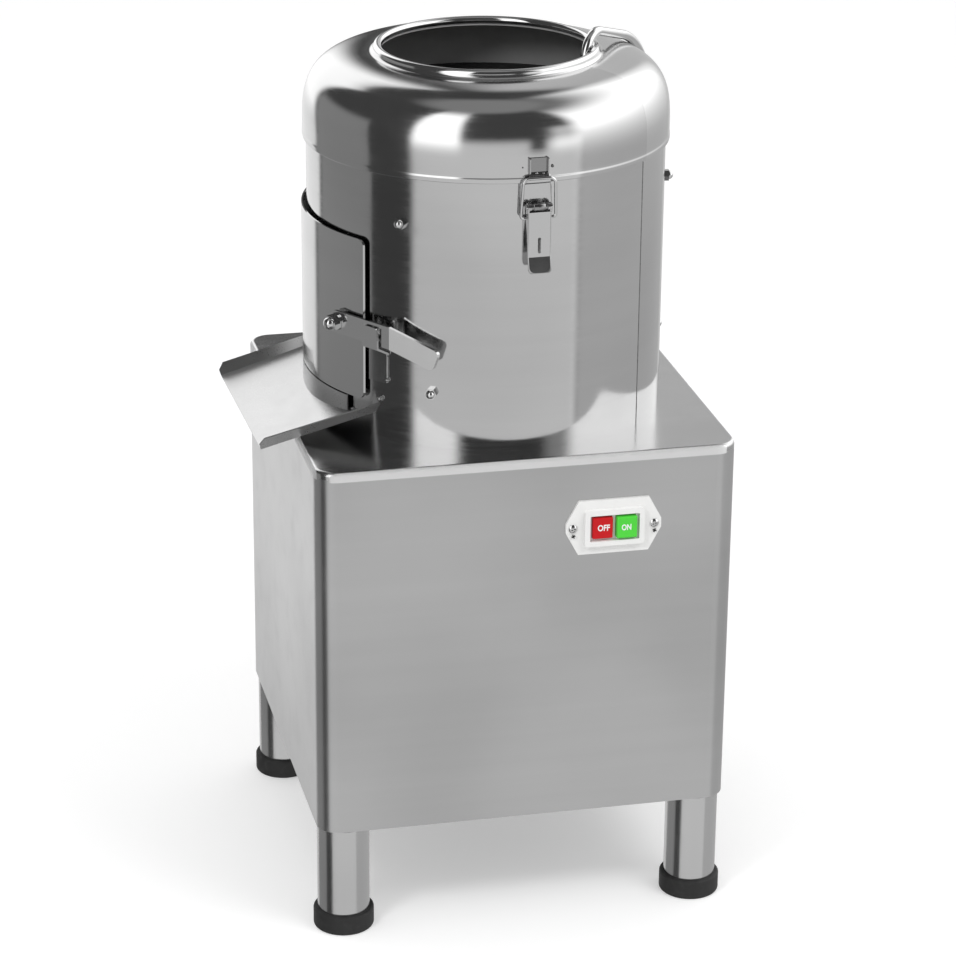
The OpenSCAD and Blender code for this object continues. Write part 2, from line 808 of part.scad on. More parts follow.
module lever_bolt() {
  collar = bolt_r + 3;
  color(steel) on_axis() {
    lever_frame() pivot_place()
      translate([0, 0, -5]) cylinder(r = bolt_r, h = lever_t + 15);
    difference() {
      lever_frame() pivot_place() translate([0, 0, -6]) cylinder(r = collar, h = 5.8);
      translate([0, 0, base_top]) cylinder(r = door_out, h = drum_h);
    }
  }
}

module lever_nut() {
  color(steel) on_axis() lever_frame() pivot_place()
    translate([0, 0, lever_t + 0.2]) {
      difference() {
        union() {
          cylinder(r = bolt_r + 4.5, h = 1.6);
          cylinder(r = 2 * bolt_r - 0.3, h = 7.6, $fn = 6);
          translate([0, 0, 7.4]) sphere(r = bolt_r + 2);
        }
        translate([0, 0, -cut]) cylinder(r = bolt_r + 0.02, h = 11.4);
      }
    }
}

// The swept space that the catch needs when the door swings away with its lever down.
module catch_notch() {
  c = cos(lever_a);
  s = sin(lever_a);
  y_near = catch_in * s + (catch_x - catch_w / 2) * c;
  y_far = catch_face * s + (catch_x + catch_w / 2) * c;
  z0 = lever_z - lever_bar_h;
  translate([-big / 2, y_far - notch_clear, z0])
    cube([big / 2, y_near - y_far + 2 * notch_clear, catch_top + notch_rise - z0]);
}

// The lever seen from above: a bar 3 mm thick, bent towards the drum.
module lever_plan() {
  far = grip_len + 30;
  left = -pivot_x - lever_bar_h;
  c = cos(bend_a);
  s = sin(bend_a);
  polygon([[left, 0], [bend_x, 0], [bend_x + far * c, far * s],
    [bend_x + far * c + lever_t * s, far * s - lever_t * c],
    [bend_x + lever_t * tan(bend_a / 2), -lever_t], [left, -lever_t]]);
}

// The lever seen from outside: a round end at the pivot, and a grip that slopes down.
module lever_outline() {
  half = lever_bar_h / 2;
  c = cos(grip_slope);
  s = sin(grip_slope);
  tip_top = [bend_x + (grip_len * c + half * c * s) * cos(bend_a), half * c * c - grip_len * s];
  tip_low = [bend_x + (grip_len * c - half * c * s) * cos(bend_a), -half * c * c - grip_len * s];
  r = grip_round;
  difference() {
    union() {
      translate([-pivot_x, 0]) circle(half);
      polygon([[-pivot_x, -half], [bend_x, -half], tip_low, tip_top, [bend_x, half],
        [-pivot_x, half]]);
    }
    for (p = [[tip_top, 1], [tip_low, -1]])
      translate(p[0]) rotate(-grip_slope) difference() {
        square(2 * r, center = true);
        translate([-r, -r * p[1]]) circle(r);
      }
  }
}

module door_lever() {
  color(steel) on_axis() difference() {
    lever_frame() translate([0, -lever_in, 0]) intersection() {
      translate([0, big / 2, 0]) rotate([90, 0, 0]) linear_extrude(big) lever_outline();
      linear_extrude(big, center = true) lever_plan();
    }
    lever_frame() pivot_place() cylinder(r = bolt_r + run_clear, h = 40, center = true);
    catch_notch();
  }
}

module door_catch() {
  tab_low = catch_top - catch_tab_h;
  run = 20;
  color(steel) on_axis() {
    difference() {
      lever_frame() translate([catch_x, 0, -lever_z]) {
        translate([0, -catch_in, (catch_top + tab_low) / 2]) rotate([90, 0, 0])
          linear_extrude(catch_t) difference() {
            rounded(catch_w, catch_tab_h, 4);
            translate([-big / 2, -big - catch_tab_h / 2 + 4]) square(big);
          }
        translate([0, -catch_in, tab_low]) rotate([90, 0, 0]) linear_extrude(catch_t)
          translate([-catch_w / 2, 0]) square([catch_w, 4.5]);
        translate([-catch_w / 2, -catch_face, tab_low]) rotate([-shelf_slope, 0, 0])
          cube([catch_w, run, catch_t]);
      }
      translate([0, 0, base_top]) cylinder(r = drum_r + catch_t / 2, h = drum_h);
    }
    catch_leg_strip(tab_low - 17 * tan(shelf_slope));
  }
}

module catch_leg_strip(z1) {
  mid_a = lever_a + atan(catch_x / catch_face);
  half_a = asin(catch_w / 2 / drum_r);
  arc_strip(drum_r, drum_r + catch_t, z1 - catch_leg, z1 + 3.5, mid_a - half_a, mid_a + half_a);
}

// ---- chute ----

module chute_frame() {
  rotate([0, 0, chute_turn]) translate([-chute_reach, 0, chute_z])
    rotate([0, -chute_slope, 0]) children();
}

module chute_side() {
  translate([0, -chute_half_w, 0]) rotate([0, 0, -chute_taper]) rotate([90 + side_lean, 0, 0])
    linear_extrude(chute_t) difference() {
      polygon([[0, 0], [chute_len, 0], [chute_len, side_in_h], [side_h / 2, side_h], [0, side_h / 2]]);
      translate([0, 0]) difference() {
        translate([-cut, side_h / 2]) square([side_h / 2 + cut, side_h]);
        translate([side_h / 2, side_h / 2]) circle(side_h / 2);
      }
    }
}

module chute() {
  end_half = chute_half_w + chute_len * tan(chute_taper);
  color(steel) on_axis() difference() {
    union() {
      chute_frame() {
        translate([0, 0, -chute_t]) linear_extrude(chute_t)
          polygon([[0, -chute_half_w], [chute_len, -end_half], [chute_len, end_half],
            [0, chute_half_w]]);
        chute_side();
        mirror([0, 1, 0]) chute_side();
      }
      intersection() {
        arc_strip(door_in, door_out, base_top, door_z - sill_gap,
          180 - sill_half_a, 180 + sill_half_a);
        chute_frame() translate([0, -big / 2, -chute_t]) cube([big, big, 100]);
      }
    }
    translate([0, 0, base_top - 40]) cylinder(r = drum_r, h = drum_h);
  }
}

// ---- waste outlet and cable gland ----

module waste_way(r) {
  level = base_d / 2 + waste_out - waste_y - waste_bend;
  translate([-waste_x, waste_y, waste_z + waste_bend])
    cylinder(r = r, h = floor_top - waste_z - waste_bend);
  translate([-waste_x, waste_y + waste_bend, waste_z + waste_bend])
    rotate([0, 0, 90]) rotate([90, 0, 0]) rotate([0, 0, 180])
      rotate_extrude(angle = 90) translate([waste_bend, 0]) circle(r);
  translate([-waste_x, waste_y + waste_bend, waste_z])
    rotate([-90, 0, 0]) cylinder(r = r, h = level);
}

module waste_pipe() {
  color(steel) on_axis() difference() {
    union() {
      waste_way(waste_r);
      translate([-waste_x, base_d / 2 + waste_gap, waste_z])
        rotate([-90, 0, 0]) cylinder(r = waste_r + collar_rim, h = collar_t);
    }
    waste_way(waste_r - waste_wall);
    translate([-waste_x, waste_y, floor_top - 5]) cylinder(r = waste_r - waste_wall, h = 10);
    translate([-waste_x, base_d / 2 + waste_out - 5, waste_z])
      rotate([-90, 0, 0]) cylinder(r = waste_r - waste_wall, h = 10);
  }
}

module gland_place() {
  translate([base_w / 2 - 70, base_d / 2, base_top - 60]) rotate([-90, 0, 0]) children();
}

module cable_gland() {
  color("dimgray") on_axis() gland_place() difference() {
    union() {
      translate([0, 0, 0]) cylinder(r = gland_r + 4, h = 6, $fn = 6);
      translate([0, 0, 5]) cylinder(r = gland_r + 1, h = 12);
      translate([0, 0, 16.5]) cylinder(r1 = gland_r + 1, r2 = gland_r - 3, h = 5);
      translate([0, 0, -sheet_t - 8]) cylinder(r = gland_r, h = sheet_t + 10);
      translate([0, 0, -sheet_t - 6]) cylinder(r = gland_r + 4, h = 6, $fn = 6);
    }
    translate([0, 0, -30]) cylinder(r = 5, h = 60);
  }
}

// ---- main shaft, bearings and disc ----

module bearing_housing() {
  low = under_top - housing_h;
  color("slategray") on_axis() difference() {
    union() {
      translate([0, 0, low]) cylinder(r = bearing_r + 12, h = housing_h);
      translate([0, 0, under_top - 8]) cylinder(r = bearing_r + 38, h = 8);
    }
    translate([0, 0, low - cut]) cylinder(r = shaft_r + 5, h = housing_h + 2 * cut);
    translate([0, 0, low - cut]) cylinder(r = bearing_r, h = bearing_w + cut);
    translate([0, 0, under_top - bearing_w - 8]) cylinder(r = bearing_r, h = bearing_w + 8 + cut);
    housing_stud_places() translate([0, 0, under_top - 20]) cylinder(r = 4.3, h = 30);
  }
}

module housing_stud_places() {
  for (i = [0:3]) rotate([0, 0, 90 * i]) translate([bearing_r + 24, 0, 0]) children();
}

module housing_nuts() {
  color(steel) on_axis() housing_stud_places() {
    translate([0, 0, under_top - 20]) cylinder(r = 4, h = 20);
    translate([0, 0, under_top - 15]) cylinder(r = 7.4, h = 7, $fn = 6);
  }
}

module bearing(z) {
  translate([0, 0, z]) rotate_extrude() difference() {
    translate([shaft_r + run_clear, 0]) square([bearing_r - shaft_r - run_clear, bearing_w]);
    for (side = [-cut, bearing_w - 0.8])
      translate([shaft_r + 3.5, side]) square([bearing_r - shaft_r - 7, 0.8 + cut]);
  }
}

module bearings() {
  color("gray") on_axis() {
    bearing(under_top - housing_h);
    bearing(under_top - 8 - bearing_w);
  }
}

module shaft_seal() {
  color("black") on_axis() translate([0, 0, under_top - 7.8]) rotate_extrude() difference() {
    translate([shaft_r + run_clear, 0]) square([bearing_r - shaft_r - run_clear, 7.4]);
    translate([shaft_r + 4, 2]) square([bearing_r - shaft_r - 7, 6]);
  }
}

module main_shaft() {
  low = belt_mid - pulley_w / 2 - 4;
  color(steel) on_axis() {
    translate([0, 0, low]) cylinder(r = shaft_r, h = disc_top - low);
    translate([0, 0, disc_top]) cylinder(r = shaft_r - 4.5, h = 12);
  }
}

module peeling_disc() {
  color("gray") on_axis() difference() {
    union() {
      translate([0, 0, disc_z]) cylinder(r = disc_r, h = disc_t);
      translate([0, 0, disc_z - 14]) cylinder(r = shaft_r + 17.5, h = 15);
      for (i = [0:rib_count - 1]) rotate([0, 0, 360 / rib_count * i])
        rod([36, 0, disc_top], [disc_r - 12, 0, disc_top], 2 * rib_r);
    }
    translate([0, 0, disc_z - 20]) cylinder(r = shaft_r + 0.03, h = 60);
    translate([0, 0, disc_z - 15]) cylinder(r = shaft_r + 11, h = 7);
  }
}

module disc_wipers() {
  color("gray") on_axis() for (i = [0:1]) rotate([0, 0, 180 * i])
    translate([shaft_r + 20, -2, floor_top + 2])
      cube([disc_r - shaft_r - 28, 4, disc_z - floor_top - 2]);
}

module disc_nut() {
  color(steel) on_axis() translate([0, 0, disc_top]) difference() {
    union() {
      cylinder(r = shaft_r + 7, h = 3);
      cylinder(r = shaft_r + 1, h = 12, $fn = 6);
      translate([0, 0, 11.5]) sphere(r = shaft_r - 2);
    }
    translate([0, 0, -cut]) cylinder(r = shaft_r - 4.47, h = 13.5);
    translate([0, 0, -big / 2]) cube(big, center = true);
  }
}

// ---- belt drive and motor ----

function half_width(y) = belt_w / 2 + y * tan(flank_a);

// A trapezoid with its middle at radius r: wider outwards.
module vee(r, h, extra) {
  w0 = half_width(-h / 2) + extra;
  w1 = half_width(h / 2) + extra;
  polygon([[r - h / 2, -w0], [r + h / 2, -w1], [r + h / 2, w1], [r - h / 2, w0]]);
}

module pulley(r, bore) {
  rim = r + belt_h / 2 + 0.5;
  translate([0, 0, belt_mid]) rotate_extrude() difference() {
    translate([bore, -pulley_w / 2]) square([rim - bore, pulley_w]);
    vee(r, belt_h + 4, belt_clear);
    if (r > 3 * bore) for (side = [-1, 1])
      translate([bore + 14, side * pulley_w / 2 - 5]) square([rim - bore - 30, 10]);
  }
}

module shaft_pulley() {
  color("dimgray") on_axis() pulley(big_r, shaft_r + 0.03);
}

module at_motor() {
  translate([motor_x, motor_y, 0]) children();
}

module motor_pulley() {
  color("dimgray") on_axis() at_motor() pulley(small_r, motor_shaft_r + 0.03);
}

module v_belt() {
  wrap = asin((big_r - small_r) / drive_c);
  straight = drive_c * cos(wrap);
  color("black") on_axis() rotate([0, 0, 45]) translate([0, 0, belt_mid]) {
    rotate([0, 0, 90 - wrap]) rotate_extrude(angle = 180 + 2 * wrap) vee(big_r, belt_h, 0);
    translate([drive_c, 0, 0]) rotate([0, 0, -90 + wrap])
      rotate_extrude(angle = 180 - 2 * wrap) vee(small_r, belt_h, 0);
    for (side = [0, 1]) mirror([0, side, 0]) rotate([0, 0, 90 - wrap]) rotate([90, 0, 0])
      translate([0, 0, -joint]) linear_extrude(straight + 2 * joint)
        vee(big_r, belt_h - joint / 10, -joint / 20);
  }
}

module motor_shaft() {
  low = belt_mid - pulley_w / 2 - 3;
  color(steel) on_axis() at_motor()
    translate([0, 0, low]) cylinder(r = motor_shaft_r, h = motor_z - low + 20);
}

module motor_bolt_places() {
  at_motor() for (i = [0:3]) rotate([0, 0, 90 * i]) translate([motor_r + 8, 0, 0]) children();
}

module motor_mount() {
  x0 = motor_x - motor_r;
  y0 = motor_y - motor_r - 4;
  x1 = base_w / 2 - sheet_t;
  y1 = motor_y + motor_r + 10;
  color("slategray") on_axis() difference() {
    union() {
      translate([x0, y0, mount_z]) cube([x1 - x0, y1 - y0, mount_t]);
      translate([x1 - 5, y0, mount_z]) cube([5, y1 - y0, 50]);
    }
    at_motor() translate([0, 0, mount_z - cut]) cylinder(r = 42, h = mount_t + 2 * cut);
    motor_bolt_places() translate([0, 0, mount_z - cut]) cylinder(r = 4.3, h = 20);
  }
}

module motor_body() {
  color("steelblue") on_axis() at_motor() difference() {
    union() {
      translate([0, 0, motor_z]) cylinder(r = motor_r + 18, h = 10);
      translate([0, 0, motor_z]) cylinder(r = motor_r - 4, h = motor_h - 2);
      translate([0, 0, motor_z + 14]) linear_extrude(motor_h - 30)
        for (i = [0:19]) rotate(18 * i + 9) translate([0, -1.2]) square([motor_r, 2.4]);
      translate([0, 0, motor_top - 16]) cylinder(r = motor_r, h = 14);
    }
    translate([0, 0, motor_z - cut]) cylinder(r = motor_shaft_r + run_clear, h = 60);
    translate([-motor_x, -motor_y, 0]) motor_bolt_places()
      translate([0, 0, motor_z - cut]) cylinder(r = 4.3, h = 20);
  }
}

module motor_cowl() {
  color("steelblue") on_axis() at_motor() translate([0, 0, motor_top - 2]) difference() {
    union() {
      cylinder(r = motor_r, h = 24);
      translate([0, 0, 24]) cylinder(r1 = motor_r, r2 = motor_r - 6, h = 6);
    }
    translate([0, 0, -cut]) cylinder(r = motor_r - 2, h = 25);
    for (i = [0:7], r = [20, 36])
      rotate([0, 0, 45 * i]) translate([r, 0, 20]) cylinder(r = 4, h = 20);
  }
}

module terminal_box() {
  color("dimgray") on_axis() at_motor() rotate([0, 0, -45]) difference() {
    translate([motor_r - 12, -32, motor_z + 40]) cube([40, 64, 76]);
    translate([0, 0, motor_z]) cylinder(r = motor_r + 0.05, h = motor_h);
  }
}

module capacitor() {
  color("dimgray") on_axis() at_motor() rotate([0, 0, 135]) difference() {
    translate([motor_r + 20, 0, motor_z + 30]) cylinder(r = 20.5, h = 92);
    translate([0, 0, motor_z]) cylinder(r = motor_r + 0.05, h = motor_h);
  }
}

module motor_bolts() {
  color(steel) on_axis() motor_bolt_places() {
    translate([0, 0, motor_z + 10]) cylinder(r = 7.4, h = 5.3, $fn = 6);
    translate([0, 0, mount_z - 9]) cylinder(r = 4, h = mount_t + 20);
    translate([0, 0, mount_z - 6.5]) cylinder(r = 7.4, h = 6.5, $fn = 6);
  }
}

// ---- hood, water tube and keepers ----

function shoulder(a, t) = [
  crown_r + (hood_r - crown_r - t) * pow(cos(a), 2 / shoulder_n),
  hood_z + skirt_h + (hood_h - skirt_h - t) * pow(sin(a), 2 / shoulder_n)];

module hood_profile() {
  steps = 18;
  lip = hood_r + swage;
  outer = [for (i = [0:steps]) shoulder(90 * i / steps, 0)];
  inner = [for (i = [steps:-1:0]) shoulder(90 * i / steps, hood_t)];
  difference() {
    polygon(concat(
      [[lip - hood_t, hood_z], [lip, hood_z], [lip, hood_z + swage_h], [hood_r, hood_z + swage_h + 3]],
      outer, inner, [[hood_r - hood_t, hood_z + swage_h + 3], [lip - hood_t, hood_z + swage_h]]));
    translate([-cut, hood_z]) square([mouth_r + bead_r / 2 + cut, hood_h + cut]);
  }
}

module hood_shell() {
  color(steel) on_axis() {
    rotate_extrude() hood_profile();
    translate([0, 0, bead_z]) rotate_extrude() translate([mouth_r + bead_r, 0]) circle(bead_r);
  }
}

module hood_seal() {
  r = hood_r - hood_t - rest_gap;
  color("black") on_axis() ring(r, drum_in - 3, drum_top + rest_gap, drum_top + rest_gap + seal_h);
}

module keeper(a) {
  near = hood_r - drum_r;
  far = near + swage + 0.4;
  z0 = hood_z + swage_h + 4.5;
  facing(a) {
    rotate([90, 0, 90]) linear_extrude(keeper_w, center = true)
      polygon([[-near, z0 + keeper_h - 5], [-near, z0], [-far, z0 - 2], [-far, hood_z + 3],
        [-far - latch_t, hood_z + 3], [-far - latch_t, z0 - 2], [-near - latch_t, z0 + 1],
        [-near - latch_t, z0 + keeper_h - 5]]);
    for (x = [-1, 1])
      translate([x * (keeper_w / 2 - latch_t / 2), -near - 2, z0 + (keeper_h - 5) / 2])
        cube([latch_t, 4, keeper_h - 5], center = true);
  }
}

module front_keeper() {
  color(steel) on_axis() keeper(latch_a);
}

module rear_keeper() {
  color(steel) on_axis() keeper(rear_latch_a);
}

// Upright plane of the tube's run: X runs outwards over the hood, Z up.
module tube_plane() {
  rotate([0, 0, tube_a]) translate([0, -tube_off, 0]) children();
}

tube_x = sqrt(pow(mouth_r, 2) - pow(tube_off, 2)) - tube_in - tube_d / 2;
arch_x = tube_x + tube_bend;
arch_z = bead_top - tube_dip;
run_start = [arch_x + tube_bend * sin(tube_slope), arch_z + tube_bend * cos(tube_slope)];
run_end = run_start + tube_run * [cos(tube_slope), -sin(tube_slope)];
turn = run_end - shoulder_bend * [sin(tube_slope), cos(tube_slope)];
tail_x = turn[0] + shoulder_bend;

module tube_way(r, past) {
  tube_plane() {
    straight(tube_x, arch_z - tube_leg - past, 90, tube_leg + past, r);
    bend(arch_x, arch_z, tube_bend, 90 - tube_slope, 180, r);
    straight(run_start[0], run_start[1], -tube_slope, tube_run, r);
    bend(turn[0], turn[1], shoulder_bend, 0, 90 - tube_slope, r);
    straight(tail_x, turn[1], -90, tube_tail + past, r);
  }
}

module water_tube() {
  end = turn[1] - tube_tail;
  r = tube_d / 2 - 0.5;
  color(steel) on_axis() difference() {
    union() {
      tube_way(tube_d / 2, 0);
      tube_plane() translate([tail_x, 0, end - barb_len]) {
        cylinder(r = r, h = barb_len + 1);
        for (i = [0:3]) translate([0, 0, 2 + 5 * i])
          cylinder(r1 = r - 0.2, r2 = r + 1.2, h = 3.5);
      }
    }
    tube_way(tube_d / 2 - tube_wall, cut);
    tube_plane() translate([tail_x, 0, end - barb_len - cut])
      cylinder(r = tube_d / 2 - tube_wall - 0.6, h = barb_len + 3 * cut);
  }
}

module tube_clip() {
  tail_a = tube_a - atan(tube_off / tail_x);
  tail_r = norm([tail_x, tube_off]);
  r = tube_d / 2 + 2;
  color(steel) on_axis() difference() {
    facing(tail_a, tail_r) translate([0, 0, hood_z]) {
      cylinder(r = r, h = swage_h);
      translate([-r, 0, 0]) cube([2 * r, tail_r - hood_r + 5, swage_h]);
    }
    translate([0, 0, hood_z - cut]) cylinder(r = hood_r + swage, h = 10, $fn = 720);
    facing(tail_a, tail_r) translate([0, 0, hood_z - cut]) cylinder(r = tube_d / 2, h = 10);
  }
}

// ---- toggle latches ----

module along_x(x0, x1, r) {
  translate([x0, 0, 0]) rotate([0, 90, 0]) cylinder(r = r, h = x1 - x0);
}

module latch_base(a) {
  ear = latch_lever_w / 2 - latch_t - rest_gap;
  z0 = drum_top - latch_low;
  facing(a) difference() {
    union() {
      translate([0, 1, z0 + latch_plate_h / 2]) rotate([90, 0, 0])
        linear_extrude(latch_t + 1) rounded(latch_plate_w, latch_plate_h, 3);
      for (x = [-ear, ear - latch_t]) {
        translate([0, -latch_pivot_out, latch_z]) along_x(x, x + latch_t, 4);
        translate([x, -latch_pivot_out, latch_z - 4])
          cube([latch_t, latch_pivot_out - latch_t / 2, 8]);
      }
      translate([0, -latch_pivot_out, latch_z]) along_x(-ear, ear, latch_pin_r + 1.6);
    }
    translate([0, -latch_pivot_out, latch_z]) along_x(-big, big, latch_pin_r + 0.02);
    translate([0, drum_r, 0]) cylinder(r = drum_r, h = drum_top + cut, $fn = 720);
  }
}

module latch_pin(a) {
  end = latch_lever_w / 2 + 0.2;
  facing(a) translate([0, -latch_pivot_out, latch_z]) {
    along_x(-end - 1, end + 1, latch_pin_r);
    along_x(end, end + 1.2, latch_pin_r + 1);
    along_x(-end - 1.2, -end, latch_pin_r + 1);
  }
}

// The latch lever's side, drawn outwards (x) and upwards (y) from the lever's pivot.
module lever_side() {
  deep = bail_back + bail_d / 2 + 1.3;
  face = toggle_face - 0.3;
  circle(3.6);
  polygon([[-3.5, 0], [-deep, -bail_drop + 2], [-deep, -bail_drop - 3], [face - 3.5, -bail_drop - 14],
    [face - 1, toggle_bend_z + 2], [face, toggle_bend_z + 2], [face, -5], [3.5, 0]]);
}

// The latch lever's sheet, seen from its side: straight, then bent out at its lower end.
module toggle_sheet() {
  low = toggle_bend_z - toggle_tip * cos(toggle_bend);
  out = toggle_face + toggle_tip * sin(toggle_bend);
  t = latch_t;
  polygon([[toggle_face - t, -4.5], [toggle_face - t, toggle_bend_z], [out - t, low], [out, low],
    [toggle_face, toggle_bend_z], [toggle_face, -4.5]]);
}

module latch_lever(a) {
  w = latch_lever_w;
  facing(a) translate([0, -latch_pivot_out, latch_z]) difference() {
    union() {
      for (x = [-w / 2, w / 2 - latch_t])
        translate([x, 0, 0]) rotate([90, 0, 90]) linear_extrude(latch_t)
          mirror([1, 0]) lever_side();
      intersection() {
        rotate([90, 0, 90]) linear_extrude(w, center = true) mirror([1, 0]) toggle_sheet();
        rotate([90, 0, 0]) linear_extrude(30) translate([0, -latch_lever_h / 2])
          rounded(w, latch_lever_h, 4.5);
      }
    }
    along_x(-big, big, latch_pin_r + run_clear);
    translate([0, bail_back, -bail_drop]) along_x(-big, big, bail_d / 2 + run_clear);
    translate([0, 0, toggle_bend_z + 11]) rotate([90, 0, 0]) linear_extrude(20)
      rounded(3, 15, 1.4);
  }
}

// One half of the bail, drawn in its own plane: a stub into the lever, an arm and half the top bar.
module bail_half() {
  r = bail_d / 2;
  foot = bail_w / 2 - bail_foot_r;
  long = norm([bail_h, bar_out - bail_out]);
  top = foot + (bail_foot_r - bail_top_r
    - sin(bail_splay) * (long - bail_top_r - bail_foot_r)) / cos(bail_splay);
  arm = cos(bail_splay) * (long - bail_top_r - bail_foot_r) - sin(bail_splay) * (top - foot);
  stub = latch_lever_w / 2 - latch_t + 0.1;
  translate([stub, 0, 0]) rotate([0, 90, 0]) cylinder(r = r - joint_step, h = foot - stub + joint);
  bend(foot, bail_foot_r, bail_foot_r, -90, bail_splay, r);
  straight(foot + bail_foot_r * cos(bail_splay), bail_foot_r * (1 + sin(bail_splay)),
    90 + bail_splay, arm, r);
  bend(top, long - bail_top_r, bail_top_r, bail_splay, 90, r);
  translate([-joint, 0, long]) rotate([0, 90, 0]) cylinder(r = r - joint_step, h = top + 2 * joint);
}

module latch_bail(a) {
  facing(a) translate([0, -bail_out, bail_z])
    rotate([atan((bar_out - bail_out) / bail_h), 0, 0]) {
      bail_half();
      mirror([1, 0, 0]) bail_half();
    }
}

module front_latch_base() {
  color(steel) on_axis() latch_base(latch_a);
}

module front_latch_pin() {
  color(steel) on_axis() latch_pin(latch_a);
}

module front_latch_lever() {
  color(steel) on_axis() latch_lever(latch_a);
}

module front_latch_bail() {
  color(steel) on_axis() latch_bail(latch_a);
}

module rear_latch_base() {
  color(steel) on_axis() latch_base(rear_latch_a);
}

module rear_latch_pin() {
  color(steel) on_axis() latch_pin(rear_latch_a);
}

module rear_latch_lever() {
  color(steel) on_axis() latch_lever(rear_latch_a);
}

module rear_latch_bail() {
  color(steel) on_axis() latch_bail(rear_latch_a);
}

// ---- switch ----

module switch_plate() {
  flat = plate_w - plate_h / 2;
  tip = 2.5;
  color("white") on_axis() switch_place() difference() {
    union() {
      linear_extrude(plate_t) intersection() {
        polygon([[-plate_w / 2 - tip, 0], [-flat / 2, plate_h / 2 + tip], [flat / 2, plate_h / 2 + tip],
          [plate_w / 2 + tip, 0], [flat / 2, -plate_h / 2 - tip], [-flat / 2, -plate_h / 2 - tip]]);
        rounded(plate_w, plate_h, 6);
      }
      linear_extrude(frame_out) rounded(frame_w, frame_h, 3);
    }
    translate([0, 0, plate_t]) linear_extrude(frame_out)
      rounded(frame_w - 2 * frame_rim, frame_h - 2 * frame_rim, 1);
    for (x = [-1, 1]) {
      translate([x * button_pitch / 2, 0, -cut]) linear_extrude(plate_t + 2 * cut)
        square([button_w + 2 * button_clear, button_h + 2 * button_clear], center = true);
      translate([x * switch_screw_pitch / 2, 0, -cut]) cylinder(r = 2.1, h = 10);
    }
  }
}

module switch_body() {
  color("dimgray") on_axis() switch_place() difference() {
    translate([0, 0, -switch_depth]) linear_extrude(switch_depth)
      rounded(frame_w - 5, frame_h - 5, 1.5);
    for (x = [-1, 1])
      translate([x * button_pitch / 2, 0, -8]) linear_extrude(10)
        square([button_w + 2 * button_clear, button_h + 2 * button_clear], center = true);
  }
}

module switch_screws() {
  color(steel) on_axis() switch_place() for (x = [-1, 1])
    translate([x * switch_screw_pitch / 2, 0, 0]) {
      difference() {
        translate([0, 0, plate_t]) intersection() {
          cylinder(r = 4.2, h = 3);
          translate([0, 0, -3.4]) sphere(r = 6);
        }
        for (turn = [0, 90]) rotate([0, 0, turn + 20])
          translate([0, 0, plate_t + 2.4]) cube([4.6, 1, 2], center = true);
      }
      translate([0, 0, -8]) cylinder(r = 2, h = plate_t + 8);
    }
}

module button(x, out) {
  base = -2;
  switch_place() translate([x, 0, base]) linear_extrude(out - base)
    rounded(button_w, button_h, 1.5);
}

module off_button() {
  color("red") on_axis() button(-button_pitch / 2, off_out);
}

module on_button() {
  color("limegreen") on_axis() button(button_pitch / 2, on_out);
}

base_shell();
top_plate();
rear_panel();
rear_panel_screws();
legs();
feet();
drum_shell();
drum_floor();
wall_liner();
liner_screws();
door_catch();
hinge_fixed_leaves();
hinge_pins();
chute();
waste_pipe();
bearing_housing();
bearings();
shaft_seal();
housing_nuts();
motor_mount();
motor_body();
motor_cowl();
terminal_box();
capacitor();
motor_bolts();
v_belt();
switch_plate();
switch_body();
switch_screws();
cable_gland();
peeling_disc();
disc_wipers();
disc_nut();
main_shaft();
shaft_pulley();
motor_shaft();
motor_pulley();
hood_shell();
hood_seal();
front_keeper();
rear_keeper();
water_tube();
tube_clip();
door_panel();
door_pad();
hinge_moving_leaves();
lever_bolt();
lever_nut();
door_lever();
front_latch_base();
front_latch_pin();
front_latch_lever();
front_latch_bail();
rear_latch_base();
rear_latch_pin();
rear_latch_lever();
rear_latch_bail();
off_button();
on_button();
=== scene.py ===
"""Electric potato peeler: materials, small finished pieces, light and camera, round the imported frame."""
import json
import math
import random

import bmesh
import bpy
from mathutils import Matrix, Vector


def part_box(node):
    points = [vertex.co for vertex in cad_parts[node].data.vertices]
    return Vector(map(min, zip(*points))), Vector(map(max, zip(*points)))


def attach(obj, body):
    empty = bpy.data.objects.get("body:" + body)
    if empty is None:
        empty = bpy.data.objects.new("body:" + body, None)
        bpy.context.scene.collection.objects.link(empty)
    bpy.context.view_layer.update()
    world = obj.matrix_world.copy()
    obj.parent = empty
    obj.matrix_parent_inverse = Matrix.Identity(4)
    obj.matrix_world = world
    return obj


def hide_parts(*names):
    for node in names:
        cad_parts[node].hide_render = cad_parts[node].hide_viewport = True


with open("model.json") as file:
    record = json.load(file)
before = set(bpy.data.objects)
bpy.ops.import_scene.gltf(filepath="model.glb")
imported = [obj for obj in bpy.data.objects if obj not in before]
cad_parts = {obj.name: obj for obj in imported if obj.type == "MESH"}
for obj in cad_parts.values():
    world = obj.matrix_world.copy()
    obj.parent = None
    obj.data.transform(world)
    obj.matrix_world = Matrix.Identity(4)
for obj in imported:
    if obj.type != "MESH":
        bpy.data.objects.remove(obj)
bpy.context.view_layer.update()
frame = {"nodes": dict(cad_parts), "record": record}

# ------------------------------------------------------------------ places taken from the frame
MM = 0.001
base_low, base_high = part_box("base_shell")
AXIS = Vector(((base_low.x + base_high.x) / 2, (base_low.y + base_high.y) / 2, 0))
DRUM_R = 171.7 * MM
SEAM_AZ = math.radians(-44.5)
KEEPER_FACE = 175.6 * MM  # radius at which the front keeper's spot welds sit
LEG_TUBE_R = 25.5 * MM
EDGE_HIGHLIGHT_REACH = 4.0 * MM  # how far the painted highlight on the cabinet's folded edges reaches in
INSIDE_LEVEL = 0.34  # how bright the dull inside of the drum and hood is


